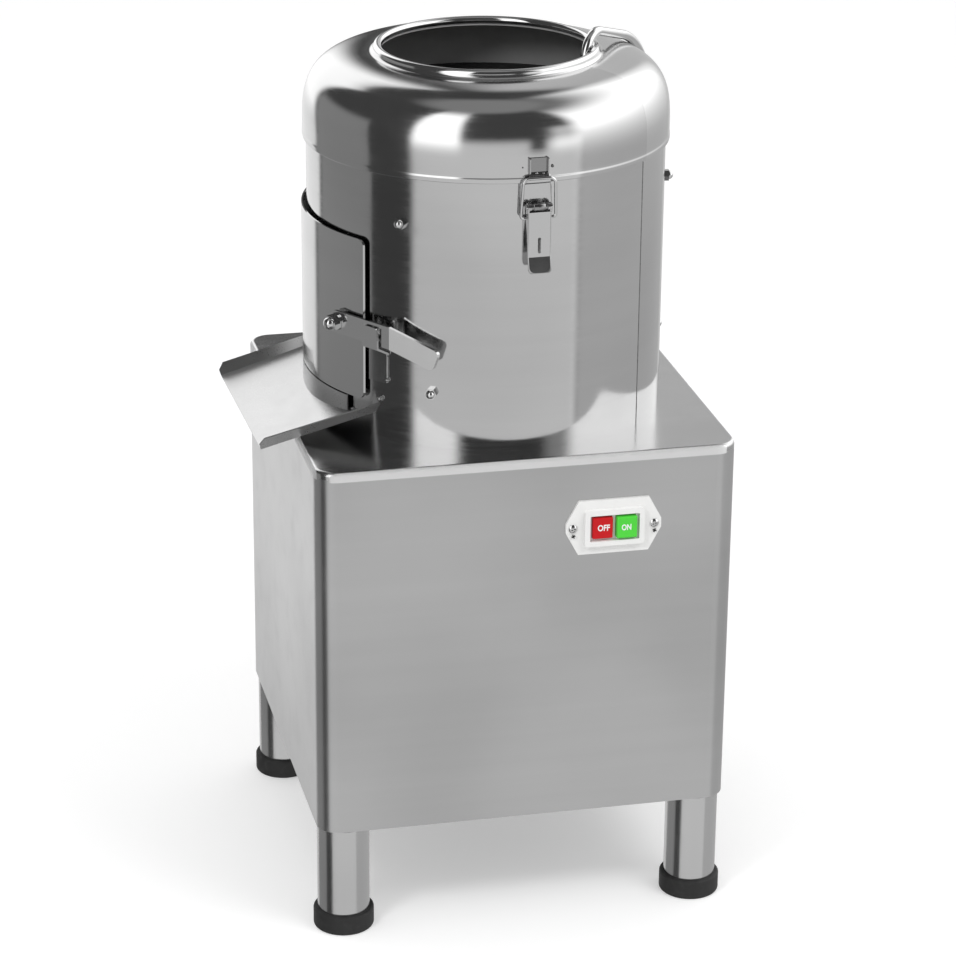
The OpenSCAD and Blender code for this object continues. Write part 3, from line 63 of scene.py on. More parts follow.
def on_drum(azimuth, z, radius=DRUM_R):
    """A point on the drum's wall."""
    return AXIS + Vector((radius * math.cos(azimuth), radius * math.sin(azimuth), z))


# ------------------------------------------------------------------ node helpers
def make(tree, kind, settings=None, **values):
    """Adds a node; a value is a number, a colour or another node's socket, by name or as i0, i1..."""
    node = tree.nodes.new(kind)
    for key, value in (settings or {}).items():
        setattr(node, key, value)
    for key, value in values.items():
        name = key.replace("_", " ")
        socket = node.inputs[int(key[1:])] if key[0] == "i" and key[1:].isdigit() else node.inputs[name]
        if isinstance(value, bpy.types.NodeSocket):
            tree.links.new(value, socket)
        else:
            socket.default_value = value
    return node


def math_node(tree, operation, *values):
    """One arithmetic step."""
    node = make(tree, "ShaderNodeMath", {"operation": operation},
                **{"i%d" % i: value for i, value in enumerate(values)})
    return node.outputs[0]


def span(tree, value, low, high, out_low, out_high):
    """A value mapped smoothly from one range to another."""
    node = make(tree, "ShaderNodeMapRange", {"interpolation_type": "SMOOTHSTEP"},
                Value=value, From_Min=low, From_Max=high, To_Min=out_low, To_Max=out_high)
    return node.outputs[0]


def grey(level):
    """A neutral colour."""
    return (level, level, level, 1.0)


def new_material(name):
    """An empty material with its tree, surface shader and output joined."""
    material = bpy.data.materials.new(name)
    material.use_nodes = True
    tree = material.node_tree
    tree.nodes.clear()
    shader = tree.nodes.new("ShaderNodeBsdfPrincipled")
    output = tree.nodes.new("ShaderNodeOutputMaterial")
    tree.links.new(shader.outputs[0], output.inputs["Surface"])
    return material, tree, shader


def object_point(tree):
    """The piece's own coordinates, in metres, which move with it."""
    return make(tree, "ShaderNodeTexCoord").outputs["Object"]


def round_point(tree):
    """Coordinates that run round the drum: arc length from the seam, radius, height."""
    shifted = make(tree, "ShaderNodeMapping", {"vector_type": "POINT"}, Vector=object_point(tree),
                   Location=(-AXIS.x, -AXIS.y, 0)).outputs[0]
    turned = make(tree, "ShaderNodeMapping", {"vector_type": "POINT"}, Vector=shifted,
                  Rotation=(0, 0, math.pi - SEAM_AZ)).outputs[0]
    parts = make(tree, "ShaderNodeSeparateXYZ", Vector=turned)
    angle = math_node(tree, "ARCTAN2", parts.outputs[1], parts.outputs[0])
    arc = math_node(tree, "MULTIPLY", angle, DRUM_R)
    flat = make(tree, "ShaderNodeCombineXYZ", X=parts.outputs[0], Y=parts.outputs[1]).outputs[0]
    radius = make(tree, "ShaderNodeVectorMath", {"operation": "LENGTH"}, i0=flat).outputs["Value"]
    return make(tree, "ShaderNodeCombineXYZ", X=arc, Y=radius, Z=parts.outputs[2]).outputs[0]


def noise(tree, point, scale, stretch=(1, 1, 1), detail=3.0, roughness=0.5):
    """Noise with its own stretch along each axis; returns its grey value."""
    mapped = make(tree, "ShaderNodeMapping", Vector=point, Scale=stretch).outputs[0]
    return make(tree, "ShaderNodeTexNoise", Vector=mapped, Scale=scale, Detail=detail,
                Roughness=roughness).outputs[0]


# ------------------------------------------------------------------ materials
STRETCHES = {"x": (0.02, 1, 1), "z": (1, 1, 0.02), "round": (0.02, 1, 1), "none": (1, 1, 1)}
BRUSH_SCALE, BAND_SCALE, WAVE_SCALE, MARK_SCALE = 900, 60, 5, 28
# The first value on the next line is the near-white colour of the painted highlight along the cabinet's
# folded edges; the second is its roughness.
EDGE_HIGHLIGHT_LEVEL, EDGE_ROUGH, RIM_ROUGH, INSIDE_ROUGH = 0.97, 0.7, 0.3, 0.6


def edge_highlight_mask(tree, point):
    """1 on the folded edges of the cabinet and its top, where the painted highlight goes, 0 elsewhere."""
    parts = make(tree, "ShaderNodeSeparateXYZ", Vector=point)
    reach = []
    for axis, low, high in ((0, base_low.x, base_high.x), (1, base_low.y, base_high.y)):
        middle = (low + high) / 2
        off = math_node(tree, "ABSOLUTE", math_node(tree, "SUBTRACT", parts.outputs[axis], middle))
        reach.append(math_node(tree, "SUBTRACT", off, (high - low) / 2 - EDGE_HIGHLIGHT_REACH))
    side = math_node(tree, "MAXIMUM", *reach)
    out = span(tree, side, EDGE_HIGHLIGHT_REACH * 0.3, EDGE_HIGHLIGHT_REACH * 0.6, 0.0, 1.0)
    top = span(tree, parts.outputs[2], base_high.z - 2.6 * MM, base_high.z - 1.6 * MM, 0.0, 1.0)
    return math_node(tree, "MULTIPLY", out, top)


def steel(name, grain, level, rough, streak=0.04, ripple=0.0004, painted_edge_highlight=False, rim=0.0,
          dull_inside=False):
    """Sheet steel: brush lines along the grain, soft waviness of the sheet, and faint marks of handling."""
    material, tree, shader = new_material(name)
    point = round_point(tree) if grain == "round" else object_point(tree)
    lines = noise(tree, point, BRUSH_SCALE, STRETCHES[grain], 2.0, 0.6)
    bands = noise(tree, point, BAND_SCALE, STRETCHES[grain], 3.0, 0.5)
    waves = noise(tree, point, WAVE_SCALE, (1, 1, 1), 1.0, 0.4)
    marks = noise(tree, point, MARK_SCALE, (1, 1, 1), 5.0, 0.6)
    shade = make(tree, "ShaderNodeMixRGB", Fac=bands, Color1=grey(level * 0.96),
                 Color2=grey(level * 1.03)).outputs[0]
    shade = make(tree, "ShaderNodeMixRGB", {"blend_type": "MULTIPLY"}, Fac=1.0, Color1=shade,
                 Color2=span(tree, waves, 0.3, 0.7, 0.93, 1.06)).outputs[0]
    grain_rough = span(tree, lines, 0.3, 0.7, rough - streak, rough + streak)
    worn = span(tree, marks, 0.45, 0.75, 0.0, 0.04)
    gloss = math_node(tree, "ADD", grain_rough, worn)
    # Painted highlight: the cabinet's folded edges are turned near white and rough, a bright line standing
    # in for light caught along the bends.
    if painted_edge_highlight:
        edge = edge_highlight_mask(tree, point)
        shade = make(tree, "ShaderNodeMixRGB", Fac=edge, Color1=shade, Color2=grey(EDGE_HIGHLIGHT_LEVEL)).outputs[0]
        gloss = math_node(tree, "MAXIMUM", gloss, math_node(tree, "MULTIPLY", edge, EDGE_ROUGH))
    if rim:
        height = make(tree, "ShaderNodeSeparateXYZ", Vector=point).outputs[2]
        low = span(tree, height, base_high.z - 3.8 * MM, base_high.z - 2.8 * MM, 1.0, 0.0)
        shade = make(tree, "ShaderNodeMixRGB", Fac=low, Color1=shade, Color2=grey(rim)).outputs[0]
        gloss = math_node(tree, "MAXIMUM", gloss, math_node(tree, "MULTIPLY", low, RIM_ROUGH))
    shader.inputs["Metallic"].default_value = 1.0
    if dull_inside:
        radius = make(tree, "ShaderNodeSeparateXYZ", Vector=point).outputs[1]
        inside = span(tree, radius, DRUM_R - 1.2 * MM, DRUM_R - 0.4 * MM, 1.0, 0.0)
        shade = make(tree, "ShaderNodeMixRGB", Fac=inside, Color1=shade,
                     Color2=grey(INSIDE_LEVEL)).outputs[0]
        gloss = math_node(tree, "MAXIMUM", gloss, math_node(tree, "MULTIPLY", inside, INSIDE_ROUGH))
        tree.links.new(math_node(tree, "SUBTRACT", 1.0, inside), shader.inputs["Metallic"])
    tree.links.new(shade, shader.inputs["Base Color"])
    tree.links.new(gloss, shader.inputs["Roughness"])
    soft = make(tree, "ShaderNodeBump", Strength=1.0, Distance=ripple, Height=waves).outputs[0]
    fine = make(tree, "ShaderNodeBump", Strength=0.10, Distance=0.00004, Height=lines,
                Normal=soft).outputs[0]
    tree.links.new(fine, shader.inputs["Normal"])
    return material


def polished(name, level, rough, scratch=0.05):
    """Bright metal: nearly smooth, with hairline scratches and a breath of haze."""
    material, tree, shader = new_material(name)
    point = object_point(tree)
    haze = noise(tree, point, 45, (1, 1, 1), 4.0, 0.6)
    hair = noise(tree, point, 700, (1, 0.08, 0.4), 2.0, 0.7)
    shade = make(tree, "ShaderNodeMixRGB", Fac=haze, Color1=grey(level * 0.94),
                 Color2=grey(level * 1.03)).outputs[0]
    tree.links.new(shade, shader.inputs["Base Color"])
    tree.links.new(span(tree, haze, 0.3, 0.7, rough, rough + scratch), shader.inputs["Roughness"])
    shader.inputs["Metallic"].default_value = 1.0
    bump = make(tree, "ShaderNodeBump", Strength=0.12, Distance=0.00003, Height=hair).outputs[0]
    tree.links.new(bump, shader.inputs["Normal"])
    return material


def moulded(name, colour, rough=0.38, orange=0.00005, specular=0.5):
    """Moulded plastic or enamel: a fine orange-peel skin and slight variation of gloss."""
    material, tree, shader = new_material(name)
    point = object_point(tree)
    skin = noise(tree, point, 1400, (1, 1, 1), 2.0, 0.5)
    cloud = noise(tree, point, 60, (1, 1, 1), 3.0, 0.5)
    darker = tuple(c * 0.94 for c in colour) + (1,)
    shade = make(tree, "ShaderNodeMixRGB", Fac=cloud, Color1=darker,
                 Color2=tuple(colour) + (1,)).outputs[0]
    tree.links.new(shade, shader.inputs["Base Color"])
    tree.links.new(span(tree, cloud, 0.3, 0.7, rough - 0.05, rough + 0.07), shader.inputs["Roughness"])
    shader.inputs["Specular IOR Level"].default_value = specular
    bump = make(tree, "ShaderNodeBump", Strength=0.2, Distance=orange, Height=skin).outputs[0]
    tree.links.new(bump, shader.inputs["Normal"])
    return material


def grit(name, dark, light, grain_size=900, depth=0.0006):
    """Abrasive coating: packed grains of carborundum with a little glitter."""
    material, tree, shader = new_material(name)
    point = object_point(tree)
    cells = make(tree, "ShaderNodeTexVoronoi", {"feature": "F1"}, Vector=point, Scale=grain_size)
    cloud = noise(tree, point, 25, (1, 1, 1), 4.0, 0.6)
    base = make(tree, "ShaderNodeMixRGB", Fac=cloud, Color1=grey(dark), Color2=grey(light)).outputs[0]
    parts = make(tree, "ShaderNodeSeparateXYZ", Vector=cells.outputs["Color"])
    glint = span(tree, parts.outputs[0], 0.80, 0.98, 0.0, 0.45)
    shade = make(tree, "ShaderNodeMixRGB", Fac=glint, Color1=base, Color2=grey(0.35)).outputs[0]
    tree.links.new(shade, shader.inputs["Base Color"])
    tree.links.new(span(tree, parts.outputs[1], 0.0, 1.0, 0.45, 0.9), shader.inputs["Roughness"])
    bump = make(tree, "ShaderNodeBump", Strength=0.8, Distance=depth,
                Height=cells.outputs["Distance"]).outputs[0]
    tree.links.new(bump, shader.inputs["Normal"])
    return material


def rubber(name, level, rough=0.7):
    """Black rubber: matt, slightly chalky where it has been rubbed."""
    material, tree, shader = new_material(name)
    point = object_point(tree)
    chalk = noise(tree, point, 120, (1, 1, 1), 5.0, 0.65)
    pores = noise(tree, point, 1500, (1, 1, 1), 2.0, 0.5)
    shade = make(tree, "ShaderNodeMixRGB", Fac=span(tree, chalk, 0.4, 0.8, 0.0, 1.0), Color1=grey(level),
                 Color2=grey(level * 2.2)).outputs[0]
    tree.links.new(shade, shader.inputs["Base Color"])
    tree.links.new(span(tree, chalk, 0.3, 0.7, rough - 0.1, rough + 0.1), shader.inputs["Roughness"])
    bump = make(tree, "ShaderNodeBump", Strength=0.4, Distance=0.0001, Height=pores).outputs[0]
    tree.links.new(bump, shader.inputs["Normal"])
    return material


def cast(name, level, rough, metallic, depth=0.0004, tint=(1.0, 1.0, 1.0)):
    """A sand-cast or painted casting: a pebbled skin and uneven tone."""
    material, tree, shader = new_material(name)
    point = object_point(tree)
    pebble = noise(tree, point, 420, (1, 1, 1), 4.0, 0.6)
    cloud = noise(tree, point, 30, (1, 1, 1), 4.0, 0.6)
    shade = make(tree, "ShaderNodeMixRGB", Fac=cloud, Color1=tuple(level * 0.8 * t for t in tint) + (1,),
                 Color2=tuple(level * 1.15 * t for t in tint) + (1,)).outputs[0]
    tree.links.new(shade, shader.inputs["Base Color"])
    tree.links.new(span(tree, cloud, 0.3, 0.7, rough - 0.08, rough + 0.08), shader.inputs["Roughness"])
    shader.inputs["Metallic"].default_value = metallic
    bump = make(tree, "ShaderNodeBump", Strength=0.35, Distance=depth, Height=pebble).outputs[0]
    tree.links.new(bump, shader.inputs["Normal"])
    return material


MATERIALS = {
    "drum_steel": steel("drum_steel", "round", 0.62, 0.11, 0.03, dull_inside=True),
    "hood_steel": steel("hood_steel", "round", 0.63, 0.13, 0.02, 0.0003),
    # The True given to the front and to the top plate turns on the painted highlight along their folded
    # edges.
    "front_steel": steel("front_steel", "x", 0.56, 0.29, 0.012, 0.0006, True),
    "upright_steel": steel("upright_steel", "z", 0.62, 0.20, 0.04),
    "plate_steel": steel("plate_steel", "x", 0.58, 0.18, 0.03, 0.0003, True, 0.47),
    "chute_steel": steel("chute_steel", "none", 0.60, 0.29, 0.02, 0.0004),
    "keeper_steel": polished("keeper_steel", 0.36, 0.17),
    "inside_steel": cast("inside_steel", INSIDE_LEVEL, 0.6, 0.1, 0.0001),
    # Near-black, for the painted shade in the switch screws' cross recesses.
    "painted_recess_shade": cast("painted_recess_shade", 0.012, 0.5, 0.0, 0.0001),
    "weld_steel": cast("weld_steel", 0.42, 0.30, 1.0, 0.0003),
    "seam_steel": cast("seam_steel", 0.20, 0.35, 1.0, 0.0002),
    "lettering": moulded("lettering", (0.90, 0.90, 0.90), 0.45),
    "bright_steel": polished("bright_steel", 0.68, 0.07),
    "plated_steel": polished("plated_steel", 0.66, 0.13),
    "machined_steel": steel("machined_steel", "round", 0.55, 0.28, 0.06, 0.0),
    "cast_iron": cast("cast_iron", 0.10, 0.6, 0.6),
    "cast_aluminium": cast("cast_aluminium", 0.45, 0.45, 0.9),
    "motor_paint": cast("motor_paint", 0.16, 0.42, 0.0, 0.0002, (0.55, 0.75, 1.0)),
    "abrasive": grit("abrasive", 0.15, 0.24),
    "black_rubber": rubber("black_rubber", 0.018),
    "white_plastic": moulded("white_plastic", (0.86, 0.86, 0.85)),
    "grey_plastic": moulded("grey_plastic", (0.12, 0.12, 0.125)),
    "red_plastic": moulded("red_plastic", (0.58, 0.006, 0.010), 0.42, 0.00004, 0.25),
    "green_plastic": moulded("green_plastic", (0.085, 0.68, 0.055), 0.42, 0.00004, 0.25),
}

FINISHES = {
    "drum_steel": ("drum_shell", "door_panel", "drum_floor"),
    "front_steel": ("base_shell", "rear_panel"),
    "upright_steel": ("legs",),
    "plate_steel": ("top_plate",),
    "chute_steel": ("chute",),
    "keeper_steel": ("front_keeper", "rear_keeper"),
    "bright_steel": ("water_tube", "front_latch_bail", "rear_latch_bail",
                     "liner_screws", "lever_nut", "lever_bolt", "switch_screws"),
    "plated_steel": ("front_latch_base", "rear_latch_base", "front_latch_pin", "rear_latch_pin",
                     "front_latch_lever", "rear_latch_lever", "door_catch", "door_lever",
                     "hinge_fixed_leaves", "hinge_moving_leaves", "hinge_pins", "tube_clip",
                     "rear_panel_screws"),
}


def dress_frame():
    """Gives every carried-over CAD node its finish, by name where it matters and else by its slot."""
    by_slot = {"stainless": "plate_steel", "polished": "bright_steel", "painted_steel": "motor_paint"}
    chosen = {node: name for name, nodes in FINISHES.items() for node in nodes}
    slots = {part["node"]: part["material_slot"] for part in frame["record"]["subparts"]}
    for name, piece in frame["nodes"].items():
        slot = slots[name]
        material = MATERIALS[chosen.get(name, by_slot.get(slot, slot))]
        if not piece.material_slots:
            piece.data.materials.append(material)
        for place in piece.material_slots:
            place.material = material


dress_frame()


# ------------------------------------------------------------------ finished pieces
BEAD_SIDES = 10


def add_object(name, data):
    """A new object in the scene's own collection."""
    thing = bpy.data.objects.new(name, data)
    bpy.context.scene.collection.objects.link(thing)
    return thing


def round_angles(count):
    """Evenly spaced angles round a circle."""
    return [2 * math.pi * k / count for k in range(count)]


def tube_faces(rows, sides):
    """The wall through rows of points, and a cap on each end."""
    wall = [(k * sides + q, k * sides + (q + 1) % sides, (k + 1) * sides + (q + 1) % sides,
             (k + 1) * sides + q) for k in range(rows - 1) for q in range(sides)]
    return wall + [tuple(range(sides)), tuple((rows - 1) * sides + q for q in range(sides))]


def ring_round(path, k, across, size):
    """A ring of points round place k of a path."""
    ahead = (path[min(k + 1, len(path) - 1)] - path[max(k - 1, 0)]).normalized()
    side = ahead.cross(across).normalized()
    lift = ahead.cross(side)
    return [path[k] + (side * math.cos(t) + lift * math.sin(t)) * size for t in round_angles(BEAD_SIDES)]


def finish_piece(piece, body, material, sharp=40.0):
    """Smooth shading, finish, slot and body of a new piece."""
    piece.data.materials.clear()
    piece.data.materials.append(MATERIALS[material])
    piece.data.shade_smooth()
    piece.data.set_sharp_from_angle(angle=math.radians(sharp))
    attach(piece, body)
    return piece


def new_piece(name, verts, faces):
    """An object made from points and faces."""
    mesh = bpy.data.meshes.new(name)
    mesh.from_pydata([tuple(v) for v in verts], [], faces)
    mesh.validate()
    build = bmesh.new()
    build.from_mesh(mesh)
    bmesh.ops.recalc_face_normals(build, faces=build.faces)
    build.to_mesh(mesh)
    build.free()
    return add_object(name, mesh)


def lathe(name, profile, steps=288):
    """Turns a closed outline of (radius, height), in millimetres, round the drum's axis."""
    verts, faces, count = [], [], len(profile)
    for k in range(steps):
        turn = 2 * math.pi * k / steps
        verts += [AXIS + Vector((r * math.cos(turn), r * math.sin(turn), z)) * MM for r, z in profile]
    for k in range(steps):
        here, ahead = k * count, (k + 1) % steps * count
        faces += [(here + i, here + (i + 1) % count, ahead + (i + 1) % count, ahead + i)
                  for i in range(count)]
    return new_piece(name, verts, faces)


# The hood's outline, in millimetres. Its sizes are the solid's, with finer steps, except for a
# shallower swage that ends lower, and the hollow curve (NECK_R) below the bead.
HOOD_LOW, HOOD_SKIRT, HOOD_HEIGHT, HOOD_R, CROWN_R, HOOD_T = 741.7, 9.3, 79.7, 175.0, 91.8, 1.2
SWAGE, SWAGE_TOP, SHOULDER_POWER, MOUTH_EDGE = 0.35, 6.0, 3.29, 101.3
BEAD_RING, BEAD_R, BEAD_Z = 103.3, 4.0, 825.05
NECK_R = 4.5
SWAGE_LIP = 3.5  # height of the swage's upright part
BEAD_STEPS = 28


def neck_line(flat_z, steps=12):
    """The hollow curve in which the hood's top rises to the outer side of the bead."""
    centre_z = flat_z + NECK_R
    centre_x = BEAD_RING + math.sqrt((BEAD_R + NECK_R) ** 2 - (centre_z - BEAD_Z) ** 2)
    end = math.atan2(BEAD_Z - centre_z, BEAD_RING - centre_x) % (2 * math.pi)
    turns = [1.5 * math.pi + (end - 1.5 * math.pi) * k / steps for k in range(steps + 1)]
    return centre_x, [(centre_x + NECK_R * math.cos(t), centre_z + NECK_R * math.sin(t)) for t in turns]


def shoulder_line(thick, steps=44):
    """The hood's shoulder from the skirt to the mouth, evenly stepped."""
    wide, high = HOOD_R - CROWN_R - thick, HOOD_HEIGHT - HOOD_SKIRT - thick
    middle = math.sin(math.pi / 4) ** (2 / SHOULDER_POWER)
    end = (MOUTH_EDGE - CROWN_R) / wide
    line = []
    for i in range(steps + 1):
        sine = (middle * i / steps) ** (SHOULDER_POWER / 2)
        cosine = math.sqrt(1 - sine * sine)
        line.append((cosine, sine))
    for i in range(1, steps + 1):
        cosine = (middle + (end - middle) * i / steps) ** (SHOULDER_POWER / 2)
        line.append((cosine, math.sqrt(1 - cosine * cosine)))
    power = 2 / SHOULDER_POWER
    return [(CROWN_R + wide * c ** power, HOOD_LOW + HOOD_SKIRT + high * n ** power) for c, n in line]


def make_hood():
    """The spun hood with its swaged lower edge, and the rolled bead round the mouth."""
    outer = [(HOOD_R + SWAGE - 0.25, HOOD_LOW), (HOOD_R + SWAGE, HOOD_LOW + 0.3)]
    for i in range(9):
        part = i / 8
        blend = part * part * (3 - 2 * part)
        outer.append((HOOD_R + SWAGE * (1 - blend), HOOD_LOW + SWAGE_LIP + (SWAGE_TOP - SWAGE_LIP) * part))
    crown = shoulder_line(0)
    neck_x, neck = neck_line(min(crown, key=lambda place: abs(place[0] - BEAD_RING - BEAD_R - NECK_R))[1])
    outer += [place for place in crown if place[0] > neck_x + 0.3] + neck + [(BEAD_RING + 1, BEAD_Z)]
    inner = list(reversed(shoulder_line(HOOD_T)))
    inner += [(HOOD_R - HOOD_T, HOOD_LOW + SWAGE_TOP), (HOOD_R + SWAGE - HOOD_T, HOOD_LOW + SWAGE_LIP),
              (HOOD_R + SWAGE - HOOD_T, HOOD_LOW)]
    hood = lathe("hood", outer + inner)
    finish_piece(hood, "hood", "hood_steel", 35)
    hood.data.materials.append(MATERIALS["inside_steel"])
    for face in hood.data.polygons:
        away = Vector((face.center.x, face.center.y, 0)) - AXIS
        face.material_index = int(face.normal.dot(away.normalized() + Vector((0, 0, 1))) < 0)
    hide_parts("hood_shell")
    ring = [(BEAD_RING + BEAD_R * math.cos(a), BEAD_Z + BEAD_R * math.sin(a))
            for a in round_angles(BEAD_STEPS)]
    finish_piece(lathe("mouth_bead", ring), "hood", "bright_steel")


WELD_ACROSS, HEM_ACROSS = Vector((0.31, 0.17, 0.93)), Vector((0.31, 0.87, 0.19))


def weld(name, points, radius, body, pitch=1.6, seed=1, material="weld_steel"):
    """A lumpy bead along a path of points in metres: ripples, uneven width and tapered ends."""
    chance = random.Random(seed)
    path = []
    for a, b in zip(points, points[1:]):
        steps = max(2, int((b - a).length / (0.35 * MM)))
        path += [a.lerp(b, k / steps) for k in range(steps)]
    path.append(points[-1])
    verts, run, wobble = [], 0.0, 1.0
    for k, point in enumerate(path):
        run += (point - path[max(k - 1, 0)]).length
        wobble += (1.0 + chance.uniform(-0.35, 0.35) - wobble) * 0.25
        taper = min(1.0, math.sqrt(max(0.0, min(k, len(path) - 1 - k)) / 4 + 0.02))
        size = radius * wobble * taper * (0.86 + 0.14 * abs(math.sin(math.pi * run / (pitch * MM))))
        verts += ring_round(path, k, WELD_ACROSS, size)
    piece = new_piece(name, verts, tube_faces(len(path), BEAD_SIDES))
    return finish_piece(piece, body, material)


def blob(name, centre, radius, body, flatten=0.6, seed=1, material="weld_steel"):
    """A drop of weld metal: a subdivided ball pulled out of round and flattened."""
    chance = random.Random(seed)
    build = bmesh.new()
    bmesh.ops.create_icosphere(build, subdivisions=3, radius=radius)
    bumps = [(Vector([chance.uniform(-1, 1) for _ in range(3)]).normalized(), chance.uniform(-0.18, 0.22))
             for _ in range(7)]
    for vert in build.verts:
        way = vert.co.normalized()
        swell = 1 + sum(amount * max(0.0, way.dot(at)) ** 3 for at, amount in bumps)
        vert.co = Vector((vert.co.x * swell, vert.co.y * swell, vert.co.z * swell * flatten)) + centre
    mesh = bpy.data.meshes.new(name)
    build.to_mesh(mesh)
    build.free()
    return finish_piece(add_object(name, mesh), body, material)


def drum_arc(az_from, az_to, z, radius, steps=40):
    """Points along the drum's wall at one height."""
    return [on_drum(math.radians(az_from + (az_to - az_from) * k / steps), z, radius)
            for k in range(steps + 1)]


def make_welds():
    """The seams and tacks that the photograph shows."""
    low, high = base_high.z + 1 * MM, 740 * MM
    seam = [on_drum(SEAM_AZ, z, DRUM_R - 0.15 * MM) for z in (low, high)]
    weld("drum_seam", seam, 0.55 * MM, "cabinet", 2.2, 3, "seam_steel")
    foot = drum_arc(-155, 175, base_high.z + 0.15 * MM, DRUM_R + 0.25 * MM, 200)
    weld("drum_foot_joint", foot, 0.5 * MM, "cabinet", 2.0, 5)
    catch_az = math.radians(-134.5)
    weld("catch_weld", [on_drum(catch_az, z * MM, DRUM_R + 0.9 * MM) for z in (566, 560, 555, 549, 543)],
         0.9 * MM, "cabinet", 1.4, 7)
    blob("catch_weld_end", on_drum(catch_az, 542 * MM, DRUM_R + 1.2 * MM), 2.3 * MM, "cabinet", 0.8, 11)
    blob("chute_weld_tip", on_drum(math.radians(-137.0), 522.1 * MM, DRUM_R + 1.6 * MM), 2.8 * MM,
         "cabinet", 0.8, 13)
    blob("chute_weld_lip", on_drum(math.radians(-149.0), 503.5 * MM, DRUM_R + 1.2 * MM), 1.7 * MM,
         "cabinet", 0.7, 17)


def make_keeper_marks():
    """Spot welds on the front keeper's foot, and the two dark marks beside it."""
    for name, azimuth, z, size in (("keeper_spot_left", -87.75, 751.0, 1.5),
                                   ("keeper_spot_right", -85.6, 750.6, 1.5)):
        blob(name, on_drum(math.radians(azimuth), z * MM, KEEPER_FACE), size * MM, "hood", 0.8, 31)
    for name, azimuth, z, size in (("hood_mark_left", -92.0, 756.5, 0.8),
                                   ("hood_mark_right", -82.8, 756.4, 1.6)):
        blob(name, on_drum(math.radians(azimuth), z * MM, HOOD_R * MM), size * MM, "hood", 1.0, 33,
             "seam_steel")


LATCH_AZ = math.radians(-87.2)
LATCH_PIVOT_OUT, LATCH_PIVOT_Z = 7.0, 720.0
LATCHES = (("front", LATCH_AZ), ("rear", LATCH_AZ + math.pi))
BARREL_SIDES = 32


def on_latch(azimuth, x, out, z):
    """A point in millimetres beside a latch: along its width, out from the drum, and up."""
    across = Vector((-math.sin(azimuth), math.cos(azimuth), 0)) * x * MM
    return on_drum(azimuth, z * MM, DRUM_R + out * MM) + across


def bright_edge(name, points, radius, body):
    """A smooth bright hem along the edge of a pressed part."""
    verts = [vert for k in range(len(points)) for vert in ring_round(points, k, HEM_ACROSS, radius * MM)]
    piece = new_piece(name, verts, tube_faces(len(points), BEAD_SIDES))
    return finish_piece(piece, body, "bright_steel")


def latch_barrel(name, azimuth, body):
    """The rolled barrel at the latch lever's pivot, with a ring at each end."""
    profile = [(-8.9, 3.3), (-8.7, 3.9), (-7.4, 3.9), (-7.2, 3.2), (-5.6, 3.2), (-5.4, 3.8), (-5.0, 4.0),
               (5.0, 4.0), (5.4, 3.8), (5.6, 3.2), (7.2, 3.2), (7.4, 3.9), (8.7, 3.9), (8.9, 3.3)]
    verts = [on_latch(azimuth, x, LATCH_PIVOT_OUT + r * math.cos(t), LATCH_PIVOT_Z + r * math.sin(t))
             for x, r in profile for t in round_angles(BARREL_SIDES)]
    piece = new_piece(name, verts, tube_faces(len(profile), BARREL_SIDES))
    finish_piece(piece, body, "keeper_steel", 30)


def make_latch_edges():
    """Hems, slot edges and barrels of both latches, and the flanges' edges on both keepers."""
    half, face_out, tip_out = 10.55, 10.4, 13.9
    for end, azimuth in LATCHES:
        body = end + "_toggle"
        rim = [(-half, face_out, 714.5), (-half, face_out, 690.0), (-half, face_out, 673.0),
               (-half, face_out + 2.6, 662.8), (-half + 1.2, face_out + 3.3, 660.0),
               (-half + 3.8, tip_out, 658.7), (0.0, tip_out, 658.6),
               (half - 3.8, tip_out, 658.7), (half - 1.2, face_out + 3.3, 660.0),
               (half, face_out + 2.6, 662.8), (half, face_out, 673.0), (half, face_out, 690.0),
               (half, face_out, 714.5)]
        bright_edge(end + "_latch_hem", [on_latch(azimuth, *place) for place in rim], 0.42, body)
        slot = [(1.35, face_out, 678.0 + 1.3 * k) for k in range(10)]
        bright_edge(end + "_latch_slot_edge", [on_latch(azimuth, *place) for place in slot], 0.3, body)
        latch_barrel(end + "_latch_barrel", azimuth, body)
        for side, x in (("left", -8.65), ("right", 8.65)):
            flange = [(x, 7.3, 751.6 + 1.3 * k) for k in range(11)]
            bright_edge("%s_keeper_edge_%s" % (end, side),
                        [on_latch(azimuth, *place) for place in flange], 0.6, "hood")


SWITCH_X, SWITCH_DOWN, SCREW_HALF_PITCH = 80.0 * MM, 72.0 * MM, 39.5 * MM


def make_screw_recess_shade():
    """Near-black crosses on the heads of the two switch screws: painted shade standing in for the shade in
    their cross recesses.
    """
    arm, thin = 1.9 * MM, 0.55 * MM
    outline = [(thin, thin), (arm, thin), (arm, -thin), (thin, -thin), (thin, -arm), (-thin, -arm),
               (-thin, -thin), (-arm, -thin), (-arm, thin), (-thin, thin), (-thin, arm), (thin, arm)]
    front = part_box("switch_screws")[0].y - 0.06 * MM
    for side, sign in (("left", -1), ("right", 1)):
        middle = Vector((AXIS.x + SWITCH_X + sign * SCREW_HALF_PITCH, 0, base_high.z - SWITCH_DOWN))
        tilt = Matrix.Rotation(math.radians(24 * sign), 3, "Y")
        ring = [tilt @ Vector((x, 0, z)) + middle for x, z in outline]
        verts = [Vector((v.x, y, v.z)) for y in (front, front + 1.2 * MM) for v in ring]
        count = len(ring)
        faces = [(i, (i + 1) % count, count + (i + 1) % count, count + i) for i in range(count)]
        faces += [tuple(range(count)), tuple(range(count, 2 * count))]
        cross = new_piece("switch_screw_recess_shade_" + side, verts, faces)
        finish_piece(cross, "cabinet", "painted_recess_shade")


